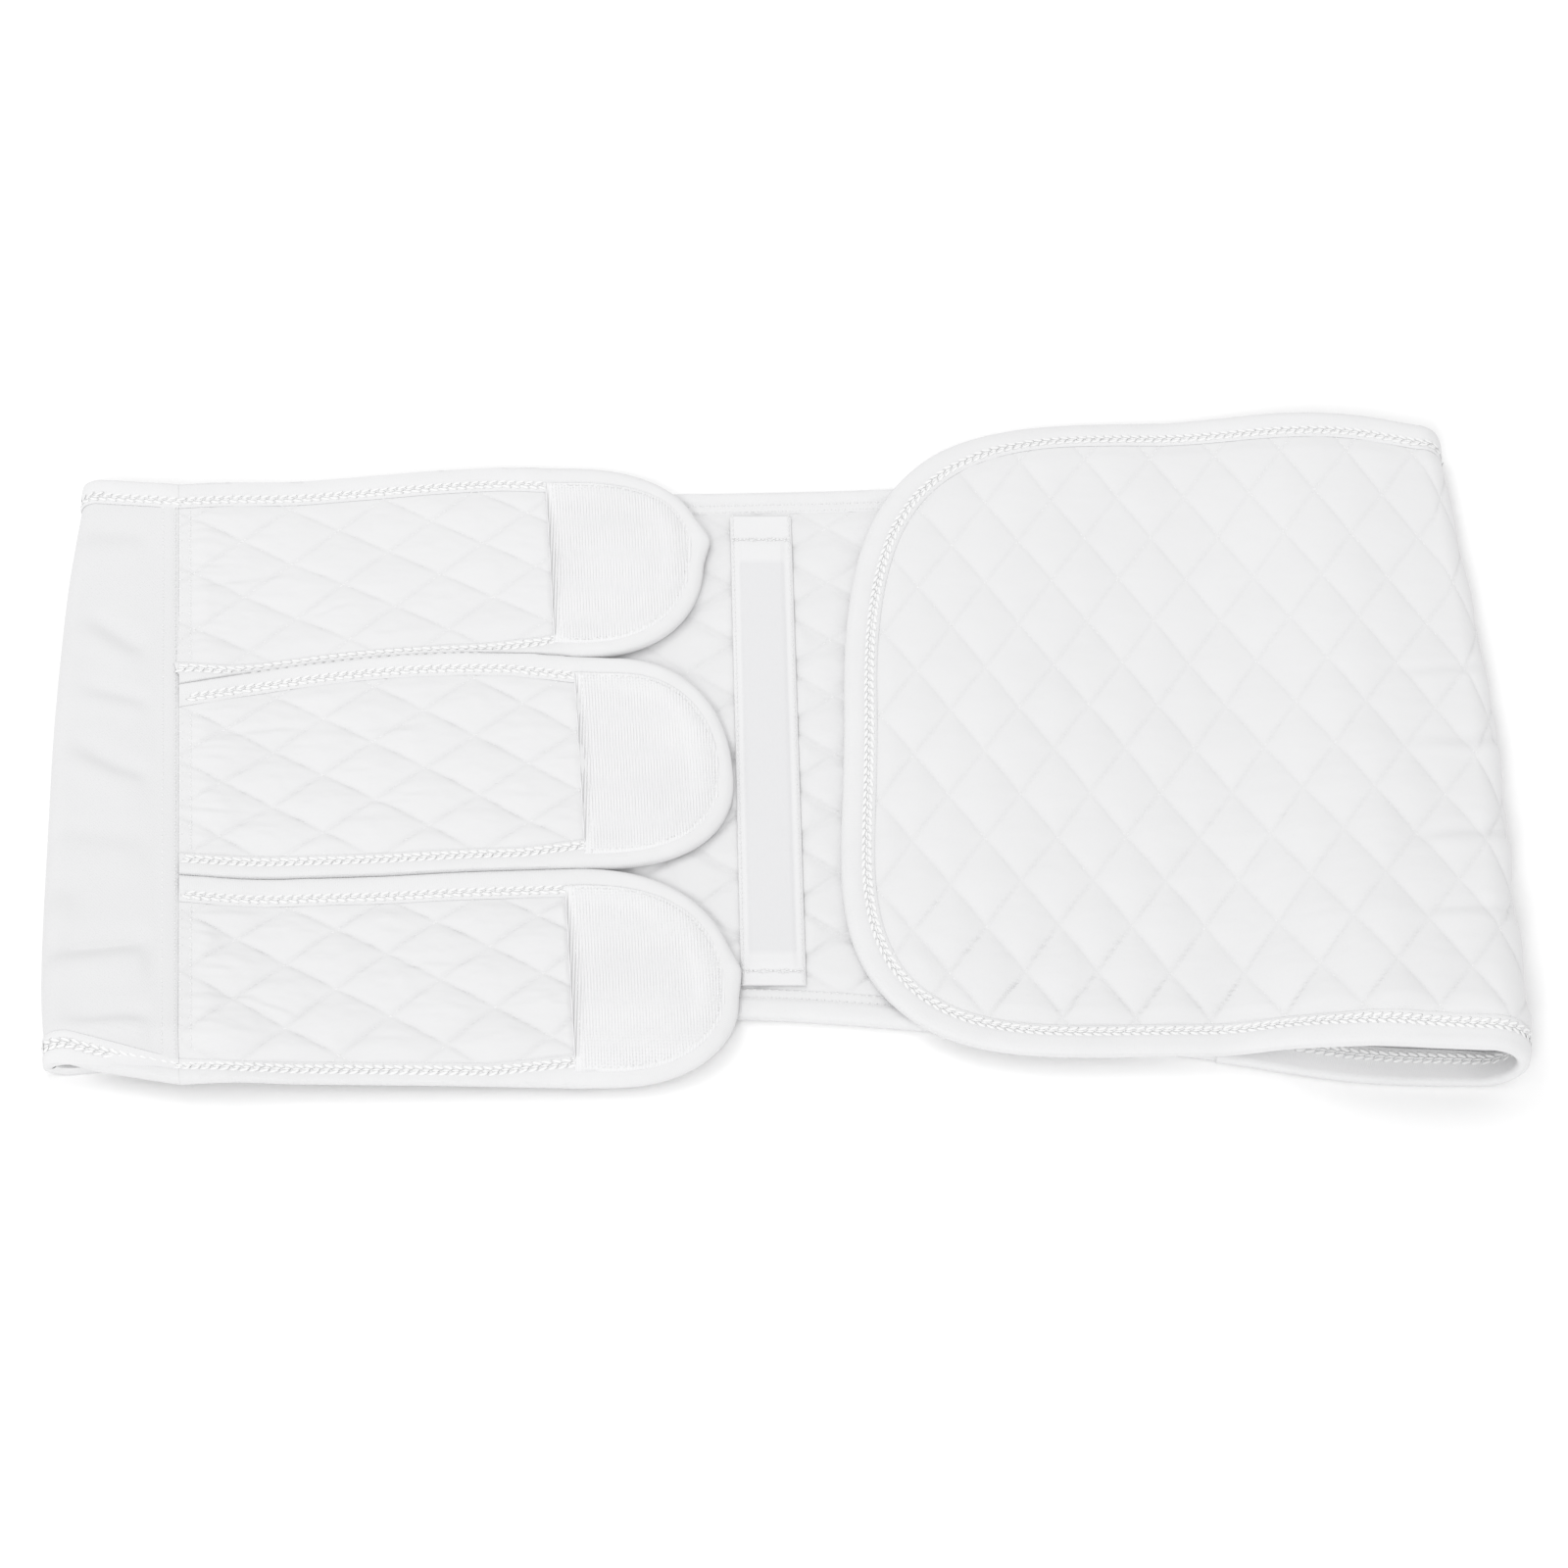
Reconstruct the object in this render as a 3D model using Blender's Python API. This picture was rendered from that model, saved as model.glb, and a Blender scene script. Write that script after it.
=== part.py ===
"""An abdominal binder that lies with both ends folded over its middle.

The middle lies on the surface with its outer face up. The left end is a knitted elastic panel
that carries three quilted tabs with hook patches, and the right end is a wide quilted front
panel. Both are folded over, so their inner faces are up. A folded tape binds every free edge.

Metres, +Z up. X runs along the binder, Y across it towards the far edge, and the origin is the
middle of the base. Each soft sheet is drawn on a flat domain (along, across), where along is
measured over the cloth from the crest of its fold, negative on the lower layer and positive on
the upper one, and a surface function lays that domain in space.
"""

import bmesh
import bpy
from math import cos, pi, radians, sin
from mathutils import Vector

# Cloth, tape and clearance
GAP = 0.0003
EDGE_THICKNESS = 0.0020
TAPE_THICKNESS = 0.0010
TAPE_DEPTH = 0.0120
TAPE_ROLL = 0.0012
PAD_SLOPE = 0.0040
SEAM_MARGIN = 0.0008
HOOK_THICKNESS = 0.0012
CASING_THICKNESS = 0.0015

# Plan sizes
BODY_HEIGHT = 0.2330
ELASTIC_WIDTH = 0.0470
ELASTIC_UNDER = 0.0580
SEAM_SLANT = 0.073
TAB_LENGTH = 0.1967
TAB_GAP = 0.0010
CASING_WIDTH = 0.0226
CASING_CLEAR = 0.0008
CASING_SLANT = 0.0250
FRONT_CLEAR = 0.0155
FRONT_REACH = 0.2340
FRONT_UNDER = 0.1050

# Folds: the height of each loop between the middles of its two layers, how far its crest
# leans back, and over what length the upper layer comes down
LEFT_LOOP = 0.0140
LEFT_LEAN = 0.0110
LEFT_PLATEAU = 0.0250
LEFT_FALL = 0.0600
RIGHT_LOOP = 0.0280
RIGHT_LEAN = 0.0105
RIGHT_PLATEAU = 0.0410
RIGHT_FALL = 0.0640

# What overhangs the lower layer sinks towards the surface
DROOP_SHARE = 0.90
DROOP_START = 0.0100
DROOP_REACH = 0.0250

# Soft dents that cross the elastic panel beside its fold
DENT_DEPTH = 0.0025
DENT_WIDTH = 0.0100

# Worked out from the sizes above
COVER = GAP + TAPE_THICKNESS
PAD = EDGE_THICKNESS / 2 + COVER
LOWER_LEVEL = PAD
UPPER_STEP = 2 * PAD + GAP

# Edges of the lower layer: place along the folded length, then near and far edge as shares
# of BODY_HEIGHT
LOWER_EDGES = (
    (0.000, -0.588, 0.489),
    (0.110, -0.562, 0.487),
    (0.235, -0.532, 0.487),
    (0.350, -0.507, 0.490),
    (0.480, -0.492, 0.494),
    (0.600, -0.511, 0.504),
    (0.700, -0.536, 0.524),
    (0.800, -0.564, 0.545),
    (0.900, -0.600, 0.562),
    (1.000, -0.608, 0.574),
)

# Crest of each fold: place across as a share of BODY_HEIGHT, how far it stands back as a
# share of the lean, loop height as a share of the loop
LEFT_FOLD = (
    (-0.610, 1.00, 1.00),
    (-0.480, 0.59, 0.97),
    (-0.350, 0.39, 0.92),
    (-0.170, 0.21, 0.86),
    (0.000, 0.05, 0.80),
    (0.150, 0.00, 0.77),
    (0.300, 0.02, 0.74),
    (0.500, 0.26, 0.72),
)
RIGHT_FOLD = (
    (-0.610, 0.19, 1.00),
    (-0.560, 0.00, 0.95),
    (-0.390, 0.10, 0.80),
    (-0.150, 0.05, 0.62),
    (0.020, 0.05, 0.55),
    (0.190, 0.27, 0.50),
    (0.290, 0.43, 0.48),
    (0.455, 0.74, 0.47),
    (0.620, 1.00, 0.46),
)

# Edges of the front panel past its fold: place as a share of FRONT_REACH, near, far
FRONT_EDGES = (
    (0.09, -0.605, 0.592),
    (0.19, -0.600, 0.614),
    (0.30, -0.590, 0.622),
    (0.41, -0.570, 0.626),
    (0.53, -0.568, 0.628),
    (0.65, -0.570, 0.628),
)

# Edges of the three tabs: place as a share of TAB_LENGTH from the seam, then the far edge,
# the two slits between the tabs, and the near edge
TAB_EDGES = (
    (0.00, 0.480, 0.086, -0.268, -0.614),
    (0.10, 0.490, 0.112, -0.264, -0.613),
    (0.20, 0.498, 0.133, -0.259, -0.613),
    (0.35, 0.511, 0.152, -0.254, -0.613),
    (0.50, 0.524, 0.161, -0.246, -0.613),
    (0.65, 0.531, 0.160, -0.241, -0.614),
    (0.80, 0.531, 0.155, -0.236, -0.615),
)

# Tabs: name, edge columns (near, far), where the near and far edges start to round, the
# tip's reach, all as shares of TAB_LENGTH, the tip's place across, and where the hook
# patch starts
TABS = (
    ("lower", 4, 3, 0.730, 0.709, 0.979, -0.456, 0.684),
    ("middle", 3, 2, 0.740, 0.793, 1.000, -0.065, 0.724),
    ("upper", 2, 1, 0.730, 0.732, 0.979, 0.373, 0.689),
)
TAB_ROUNDNESS = 2.3

# Free end of the front panel
FRONT_NEAR_ROUND = 0.620
FRONT_FAR_ROUND = 0.535
FRONT_TIP_ACROSS = -0.103
FRONT_ROUNDNESS = 3.0

# Elastic dents: place across as a share of BODY_HEIGHT, share of the depth
ELASTIC_DENTS = (
    (0.215, 0.6),
    (0.090, 0.6),
    (-0.060, 0.5),
    (-0.385, 1.0),
    (-0.520, 0.8),
)

# Fineness of the facets
ARC_STEPS = 8
TAB_STEPS = 12
FRONT_STEPS = 20
ELASTIC_STEPS = 16
MIDDLE_STEPS = 4

# Colours and finish of the cloths
ELASTIC_WHITE = (0.86, 0.86, 0.87)
QUILT_WHITE = (0.88, 0.88, 0.88)
TAPE_WHITE = (0.90, 0.90, 0.90)
HOOK_WHITE = (0.85, 0.85, 0.86)
CASING_WHITE = (0.80, 0.80, 0.81)


def clamp(value, low=0.0, high=1.0):
    return max(low, min(high, value))


def smooth(value):
    """Ease from 0 to 1 as the value goes from 0 to 1."""
    value = clamp(value)
    return value * value * (3 - 2 * value)


def blend(first, last, share):
    return first + (last - first) * share


def read(table, column, place):
    """Read a column of a table by its first column, with a smooth curve through the rows."""
    if place <= table[0][0]:
        return table[0][column]
    if place >= table[-1][0]:
        return table[-1][column]
    row = next(i for i in range(len(table) - 1) if place <= table[i + 1][0])
    x0, x1 = table[row][0], table[row + 1][0]
    y0, y1 = table[row][column], table[row + 1][column]

    def slope(i):
        i0, i1 = max(i - 1, 0), min(i + 1, len(table) - 1)
        return (table[i1][column] - table[i0][column]) / (table[i1][0] - table[i0][0])

    t = (place - x0) / (x1 - x0)
    curve0 = slope(row) * (x1 - x0) - (y1 - y0)
    curve1 = (y1 - y0) - slope(row + 1) * (x1 - x0)
    return blend(y0, y1, t) + t * (1 - t) * (curve0 * (1 - t) + curve1 * t)


def seam_x(across):
    """The slanted seam between the elastic panel and the tabs."""
    return ELASTIC_WIDTH - SEAM_SLANT * across


def casing_left(across):
    """Left edge of the casing, just clear of the tab that comes closest to it."""
    tips = (
        seam_x(tab[6] * BODY_HEIGHT) + tab[5] * TAB_LENGTH + CASING_SLANT * tab[6] * BODY_HEIGHT
        for tab in TABS
    )
    return max(tips) + CASING_CLEAR - CASING_SLANT * across


FREE_EDGE = casing_left(0.0) + CASING_WIDTH + FRONT_CLEAR
LENGTH = FREE_EDGE + FRONT_REACH


def lower_edge(column, x):
    return read(LOWER_EDGES, column, x / LENGTH) * BODY_HEIGHT


def droop(x, across):
    """How far a settled upper layer has sunk where it overhangs the lower one."""
    over = max(lower_edge(1, x) - across, across - lower_edge(2, x))
    return DROOP_SHARE * UPPER_STEP * smooth((over - DROOP_START) / DROOP_REACH)


class Fold:
    """One folded end: side is 1 on the right and -1 on the left."""

    def __init__(self, side, table, crest, loop, lean, plateau, fall):
        self.side = side
        self.table = table
        self.crest = crest
        self.loop = loop
        self.lean = lean
        self.plateau = plateau
        self.fall = fall
        self.quarter = pi / 4 * loop

    def crest_x(self, across):
        return self.crest - self.side * self.lean * read(self.table, 1, across / BODY_HEIGHT)

    def loop_height(self, across):
        return self.loop * read(self.table, 2, across / BODY_HEIGHT)

    def along_at(self, x, across):
        """Where the upper layer passes over x."""
        reach = self.side * (self.crest_x(across) - x)
        return self.quarter + reach - self.loop_height(across) / 2

    def lower_x(self, along, across):
        reach = -along - self.quarter + self.loop_height(across) / 2
        return self.crest_x(across) - self.side * reach

    def lift(self, reach):
        """Share of the loop's height that the upper layer still has at a reach from the crest."""
        return 1 - smooth((reach - self.plateau) / self.fall)

    def point(self, along, across):
        height = self.loop_height(across)
        radius = height / 2
        crest = self.crest_x(across)
        if abs(along) < self.quarter:
            turn = along / self.quarter * pi / 2
            x = crest - self.side * radius * (1 - cos(turn))
            return Vector((x, across, LOWER_LEVEL + radius * (1 + sin(turn))))
        if along < 0:
            return Vector((self.lower_x(along, across), across, LOWER_LEVEL))
        reach = along - self.quarter + radius
        x = crest - self.side * reach
        lift = self.lift(reach)
        rest = (UPPER_STEP - droop(x, across)) * (1 - lift)
        z = LOWER_LEVEL + height * lift + rest
        if self.side < 0:
            z -= dent(x, across)
        return Vector((x, across, z))


LEFT = Fold(-1, LEFT_FOLD, PAD, LEFT_LOOP, LEFT_LEAN, LEFT_PLATEAU, LEFT_FALL)
RIGHT = Fold(1, RIGHT_FOLD, LENGTH - PAD, RIGHT_LOOP, RIGHT_LEAN, RIGHT_PLATEAU, RIGHT_FALL)


def dent(x, across):
    """Depth of the elastic panel's dents, which die out before its seam and its tapes."""
    share = x / seam_x(across)
    edge = min(across - lower_edge(1, x), lower_edge(2, x) - across) - TAPE_DEPTH
    window = smooth(share * 3) * smooth((1 - share) * 4) * smooth(edge / DENT_WIDTH)
    depth = 0.0
    for place, part in ELASTIC_DENTS:
        away = (across - place * BODY_HEIGHT) / DENT_WIDTH
        depth += part * smooth(1 - abs(away))
    return DENT_DEPTH * depth * window


def left_point(spot):
    return LEFT.point(spot[0], spot[1])


def right_point(spot):
    return RIGHT.point(spot[0], spot[1])


def tab_point(spot):
    """The tabs' domain starts at their seam."""
    return LEFT.point(seam_along(spot[1]) + spot[0], spot[1])


def middle_point(spot):
    return Vector((spot[0], spot[1], LOWER_LEVEL))


def seam_along(across):
    return LEFT.along_at(seam_x(across), across)


def normal_at(surface, spot, side):
    """Unit normal towards the inner face of the binder, which is up on the upper layers."""
    step = 0.0002
    along = surface((spot[0] + step, spot[1])) - surface((spot[0] - step, spot[1]))
    across = surface((spot[0], spot[1] + step)) - surface((spot[0], spot[1] - step))
    return (along.cross(across) * -side).normalized()


def inset_loop(loop, insets):
    """Move each edge of a closed flat loop inwards by its own inset."""
    count = len(loop)
    area = sum(
        loop[k][0] * loop[(k + 1) % count][1] - loop[(k + 1) % count][0] * loop[k][1]
        for k in range(count)
    )
    turn = 1 if area > 0 else -1
    normals = []
    for k in range(count):
        edge = (Vector(loop[(k + 1) % count]) - Vector(loop[k])).normalized()
        normals.append(Vector((-edge.y, edge.x)) * turn)
    moved = []
    for k in range(count):
        n0, n1 = normals[k - 1], normals[k]
        d0, d1 = insets[k - 1], insets[k]
        cross = n0.x * n1.y - n0.y * n1.x
        if abs(cross) < 0.02:
            shift = (n0 + n1).normalized() * (d0 + d1) / 2
        else:
            shift = Vector((d0 * n1.y - d1 * n0.y, d1 * n0.x - d0 * n1.x)) / cross
        moved.append(Vector(loop[k]) + shift)
    return moved


class Sheet:
    """A flat outline of four sides on a surface: near, end, far and start.

    The near and far sides have the same number of stations. The start side is a seam, and so is
    the end side where end_line is given. A seam carries no tape, and its line function gives
    its place along for any place across.
    """

    def __init__(self, surface, side, near, end, far, settle, start_line, end_line=None):
        self.surface = surface
        self.side = side
        self.long = len(near) - 1
        self.wide = len(end) + 1
        start = [
            Vector(far[0]).lerp(Vector(near[0]), (j + 1) / self.wide) for j in range(self.wide - 1)
        ]
        self.loop = list(near) + list(end) + list(reversed(far)) + start
        self.settle = settle
        self.start_line = start_line
        self.end_line = end_line

    def is_seam(self, k):
        """Whether the loop's edge k lies on a seam."""
        if k >= 2 * self.long + self.wide:
            return True
        return self.end_line is not None and self.long <= k < self.long + self.wide

    def ring(self, tape_inset, seam_inset):
        """The loop moved inwards, with the points of each seam spread evenly on its line."""
        count = len(self.loop)
        insets = [seam_inset if self.is_seam(k) else tape_inset for k in range(count)]
        moved = inset_loop(self.loop, insets)
        seams = [(2 * self.long + self.wide, self.start_line, seam_inset)]
        if self.end_line is not None:
            seams.append((self.long, self.end_line, -seam_inset))
        for first, line, inset in seams:
            low, high = moved[first].y, moved[(first + self.wide) % count].y
            for j in range(self.wide + 1):
                across = blend(low, high, j / self.wide)
                moved[(first + j) % count] = Vector((line(across) + inset, across))
        return moved

    def station(self, k):
        """Station along the sheet of the loop's corner k."""
        if k <= self.long:
            return k
        if k <= self.long + self.wide:
            return self.long
        return max(0, 2 * self.long + self.wide - k)

    def fill(self, ring):
        """Inner points of a ring, as rows of stations from near to far."""
        far = [ring[2 * self.long + self.wide - i] for i in range(self.long + 1)]
        end = [ring[self.long + j] for j in range(self.wide + 1)]
        rows = []
        for i in range(1, self.long):
            pull = max(0.0, (i - self.settle) / (self.long - self.settle))
            row = []
            for j in range(1, self.wide):
                share = j / self.wide
                bulge = end[j] - end[0].lerp(end[-1], share)
                row.append(ring[i].lerp(far[i], share) + bulge * pull)
            rows.append(row)
        return rows

    def place(self, spot, height):
        return self.surface(spot) + normal_at(self.surface, spot, self.side) * height


def new_object(name, mesh, colour, roughness):
    mesh.shade_smooth()
    mesh.set_sharp_from_angle(angle=radians(40))
    item = bpy.data.objects.new(name, mesh)
    material = bpy.data.materials.new(name)
    material.use_nodes = True
    shader = material.node_tree.nodes["Principled BSDF"]
    shader.inputs["Base Color"].default_value = (*colour, 1.0)
    shader.inputs["Roughness"].default_value = roughness
    shader.inputs["Metallic"].default_value = 0.0
    mesh.materials.append(material)
    bpy.data.collections["abdominal_binder"].objects.link(item)
    return item


def add_quad(bm, outer0, outer1, inner1, inner0):
    """Two triangles, split from the outer corner here to the inner corner of the next station."""
    bm.faces.new((outer0, outer1, inner1))
    bm.faces.new((outer0, inner1, inner0))


def finish_mesh(name, bm, colour, roughness):
    bmesh.ops.recalc_face_normals(bm, faces=bm.faces)
    mesh = bpy.data.meshes.new(name)
    bm.to_mesh(mesh)
    bm.free()
    return new_object(name, mesh, colour, roughness)


def make_panel(name, sheet, rings, colour, roughness, flat_from=None):
    """A closed sheet with a layer of faces on each side.

    Each row of rings is (inset from the taped edges, inset from the seams, height of the lower
    face, height of the upper face). From the station flat_from on, the upper face keeps the
    height of the outermost ring.
    """
    bm = bmesh.new()
    count = len(sheet.loop)
    layers = []
    for face in (2, 3):

        def height(row, station):
            if face == 3 and flat_from is not None and station >= flat_from:
                return rings[0][3]
            return rings[row][face]

        circles = []
        for row, (tape_inset, seam_inset, _, _) in enumerate(rings):
            spots = sheet.ring(tape_inset, seam_inset)
            circles.append(
                [
                    bm.verts.new(sheet.place(spot, height(row, sheet.station(k))))
                    for k, spot in enumerate(spots)
                ]
            )
        inner = circles[-1]
        grid = [[inner[(count - j) % count] for j in range(sheet.wide + 1)]]
        for i, spots in enumerate(sheet.fill(spots), start=1):
            row = [bm.verts.new(sheet.place(spot, height(-1, i))) for spot in spots]
            grid.append([inner[i]] + row + [inner[2 * sheet.long + sheet.wide - i]])
        grid.append([inner[sheet.long + j] for j in range(sheet.wide + 1)])
        for outer, next_in in zip(circles, circles[1:]):
            for k in range(count):
                k1 = (k + 1) % count
                add_quad(bm, outer[k], outer[k1], next_in[k1], next_in[k])
        for i in range(sheet.long):
            for j in range(sheet.wide):
                corners = (grid[i][j], grid[i + 1][j], grid[i + 1][j + 1], grid[i][j + 1])
                bm.faces.new(corners)
        layers.append(circles[0])
    bottom, top = layers
    for k in range(count):
        k1 = (k + 1) % count
        bm.faces.new((bottom[k], bottom[k1], top[k1], top[k]))
    return finish_mesh(name, bm, colour, roughness)


def make_tape(name, sheet, first, last):
    """A folded tape round the sheet's edge, from one corner of its loop to another."""
    outer, inner = PAD, EDGE_THICKNESS / 2 + GAP
    section = (
        (TAPE_DEPTH, outer),
        (TAPE_ROLL, outer),
        (0.0, outer - TAPE_ROLL),
        (0.0, TAPE_ROLL - outer),
        (TAPE_ROLL, -outer),
        (TAPE_DEPTH, -outer),
        (TAPE_DEPTH, -inner),
        (TAPE_THICKNESS, -inner),
        (TAPE_THICKNESS, inner),
        (TAPE_DEPTH, inner),
    )
    rings = {inset: sheet.ring(inset, GAP) for inset, _ in section}
    count = len(sheet.loop)
    bm = bmesh.new()
    sections = []
    for step in range(first, last + 1):
        k = step % count
        sections.append(
            [bm.verts.new(sheet.place(rings[inset][k], height)) for inset, height in section]
        )
    size = len(section)
    for here, there in zip(sections, sections[1:]):
        for p in range(size):
            p1 = (p + 1) % size
            near, deep = (p, p1) if section[p][0] <= section[p1][0] else (p1, p)
            add_quad(bm, here[near], there[near], there[deep], here[deep])
    for cap in (sections[0], sections[-1]):
        top, middle, bottom = cap[:2] + cap[8:], cap[1:5] + cap[7:9], cap[4:8]
        for corners in (top, middle, bottom):
            bm.faces.new(corners)
    return finish_mesh(name, bm, TAPE_WHITE, 0.8)


def quilt_rings():
    """A quilted panel: thin inside its tape and seams, and flush with the tape's faces inside."""
    edge = EDGE_THICKNESS / 2
    inner = TAPE_DEPTH + GAP
    return (
        (COVER, GAP, -edge, edge),
        (inner, SEAM_MARGIN, -edge, edge),
        (inner + PAD_SLOPE, SEAM_MARGIN + PAD_SLOPE, -PAD, PAD),
    )


def knit_rings():
    """The elastic panel has one thickness all over."""
    edge = EDGE_THICKNESS / 2
    return (
        (COVER, GAP, -edge, edge),
        (TAPE_DEPTH + GAP, SEAM_MARGIN, -edge, edge),
    )


def rounded_end(near_end, tip, far_end, steps, roundness):
    """Points from the near to the far side round a tip, as two superellipse quarters."""
    points = []
    for j in range(1, steps):
        turn = pi * j / steps - pi / 2
        base = near_end if turn < 0 else far_end
        along = abs(cos(turn)) ** (2 / roundness)
        across = abs(sin(turn)) ** (2 / roundness)
        points.append((blend(base[0], tip[0], along), blend(tip[1], base[1], across)))
    return points


def fold_stations(fold, under):
    """Places along the lower layer and round the loop of a fold."""
    lower = [-fold.quarter - under, -fold.quarter - under / 2]
    arc = [fold.quarter * (2 * i / ARC_STEPS - 1) for i in range(ARC_STEPS + 1)]
    return lower + arc


def folded_edge(fold, column, along, upper):
    """Near (column 1) or far (column 2) edge on the lower layer and round the loop."""
    x = fold.lower_x(min(along, -fold.quarter), 0.0)
    lower = lower_edge(column, x)
    share = smooth((along / fold.quarter + 1) / 2)
    return blend(lower, upper, share)


def elastic_sheet():
    near_top, far_top = TAB_EDGES[0][4] * BODY_HEIGHT, TAB_EDGES[0][1] * BODY_HEIGHT
    sides = []
    for column, top in ((1, near_top), (2, far_top)):
        arc_end = lower_edge(column, LEFT.lower_x(-LEFT.quarter, 0.0))
        places = fold_stations(LEFT, ELASTIC_UNDER - LEFT_LOOP / 2)
        side = [(along, folded_edge(LEFT, column, along, arc_end)) for along in places]
        for share in (0.4, 0.75, 1.0):
            along = blend(LEFT.quarter, seam_along(top), share)
            side.append((along, blend(arc_end, top, share)))
        sides.append(side)
    near, far = sides
    end = []
    for j in range(1, ELASTIC_STEPS):
        across = blend(near_top, far_top, j / ELASTIC_STEPS)
        end.append((seam_along(across), across))
    settle = ARC_STEPS + 2
    return Sheet(left_point, -1, near, end, far, settle, lambda _: near[0][0], seam_along)


def tab_sheet(tab):
    name, near_column, far_column, near_round, far_round, reach, tip_across, hook = tab
    hook_place = hook * TAB_LENGTH
    before_hook = hook_place - PAD_SLOPE - GAP
    shares = (0.0, 0.08, 0.16, 0.26, 0.38, 0.68, 1.0)
    sides = []
    for column, start, inward in ((near_column, near_round, 1), (far_column, far_round, -1)):
        places = [before_hook * share for share in shares]
        places += [hook_place - GAP, start * TAB_LENGTH]
        slit = TAB_GAP / 2 * inward if column in (2, 3) else 0.0
        sides.append(
            [
                (place, read(TAB_EDGES, column, place / TAB_LENGTH) * BODY_HEIGHT + slit)
                for place in places
            ]
        )
    near, far = sides
    tip = (reach * TAB_LENGTH, tip_across * BODY_HEIGHT)
    end = rounded_end(near[-1], tip, far[-1], TAB_STEPS, TAB_ROUNDNESS)
    return Sheet(tab_point, -1, near, end, far, len(shares), lambda _: 0.0)


def front_sheet():
    def edge(column, along):
        return read(FRONT_EDGES, column, along / FRONT_REACH) * BODY_HEIGHT

    sides = []
    for column, start in ((1, FRONT_NEAR_ROUND), (2, FRONT_FAR_ROUND)):
        top = edge(column, RIGHT.quarter)
        places = fold_stations(RIGHT, FRONT_UNDER - RIGHT_LOOP / 2)
        side = [(along, folded_edge(RIGHT, column, along, top)) for along in places]
        across = edge(column, start * FRONT_REACH)
        last = RIGHT.along_at(LENGTH - start * FRONT_REACH, across)
        for share in (0.15, 0.3, 0.45, 0.6, 0.8, 1.0):
            along = blend(RIGHT.quarter, last, share)
            side.append((along, edge(column, along)))
        sides.append(side)
    near, far = sides
    tip_across = FRONT_TIP_ACROSS * BODY_HEIGHT
    tip = (RIGHT.along_at(FREE_EDGE, tip_across), tip_across)
    end = rounded_end(near[-1], tip, far[-1], FRONT_STEPS, FRONT_ROUNDNESS)
    return Sheet(right_point, 1, near, end, far, ARC_STEPS + 3, lambda _: near[0][0])


def middle_sheet():
    """The middle's domain is its plan, and its ends follow the seams of both folded ends."""

    def left_end(across):
        return LEFT.lower_x(-LEFT.quarter - ELASTIC_UNDER + LEFT_LOOP / 2, across)

    def right_end(across):
        return RIGHT.lower_x(-RIGHT.quarter - FRONT_UNDER + RIGHT_LOOP / 2, across)

    sides = []
    for column in (1, 2):
        first = folded_edge(LEFT, column, -LEFT.quarter - ELASTIC_UNDER + LEFT_LOOP / 2, 0.0)
        last = folded_edge(RIGHT, column, -RIGHT.quarter - FRONT_UNDER + RIGHT_LOOP / 2, 0.0)
        x0, x1 = left_end(first), right_end(last)
        side = [(x0, first)]
        for share in (0.2, 0.4, 0.6, 0.8):
            x = blend(x0, x1, share)
            side.append((x, lower_edge(column, x)))
        sides.append(side + [(x1, last)])
    near, far = sides
    end = []
    for j in range(1, MIDDLE_STEPS):
        across = blend(near[-1][1], far[-1][1], j / MIDDLE_STEPS)
        end.append((blend(near[-1][0], far[-1][0], j / MIDDLE_STEPS), across))
    return Sheet(middle_point, 1, near, end, far, 0, left_end, right_end)


def make_elastic():
    sheet = elastic_sheet()
    make_panel("elastic_panel", sheet, knit_rings(), ELASTIC_WHITE, 0.85)
    make_tape("elastic_binding_near", sheet, 0, sheet.long)
    make_tape("elastic_binding_far", sheet, sheet.long + sheet.wide, 2 * sheet.long + sheet.wide)


def make_front():
    sheet = front_sheet()
    make_panel("front_panel", sheet, quilt_rings(), QUILT_WHITE, 0.9)
    make_tape("front_binding", sheet, 0, 2 * sheet.long + sheet.wide)


def make_middle():
    sheet = middle_sheet()
    make_panel("back_panel", sheet, quilt_rings(), QUILT_WHITE, 0.9)
    make_tape("back_binding_near", sheet, 0, sheet.long)
    make_tape("back_binding_far", sheet, sheet.long + sheet.wide, 2 * sheet.long + sheet.wide)


def make_tab(tab):
    sheet = tab_sheet(tab)
    hook_from = sheet.long - 1
    make_panel("tab_" + tab[0], sheet, quilt_rings(), QUILT_WHITE, 0.9, flat_from=hook_from)
    make_tape("tab_binding_" + tab[0], sheet, 0, 2 * sheet.long + sheet.wide)
    make_hook_patch(tab, sheet, hook_from)


def make_hook_patch(tab, sheet, hook_from):
    """The patch fills the tab's end inside its tape, where the quilting is pressed flat."""
    inside = sheet.ring(TAPE_DEPTH + GAP, GAP)
    corner = sheet.long + sheet.wide
    near = inside[hook_from : sheet.long + 1]
    end = inside[sheet.long + 1 : corner]
    far = list(reversed(inside[corner : corner + sheet.long - hook_from + 1]))
    patch = Sheet(tab_point, -1, near, end, far, 0, lambda _: near[0][0])
    low = EDGE_THICKNESS / 2 + GAP
    rings = ((0.0, GAP, low, low + HOOK_THICKNESS),)
    make_panel("hook_patch_" + tab[0], patch, rings, HOOK_WHITE, 0.95)


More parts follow.
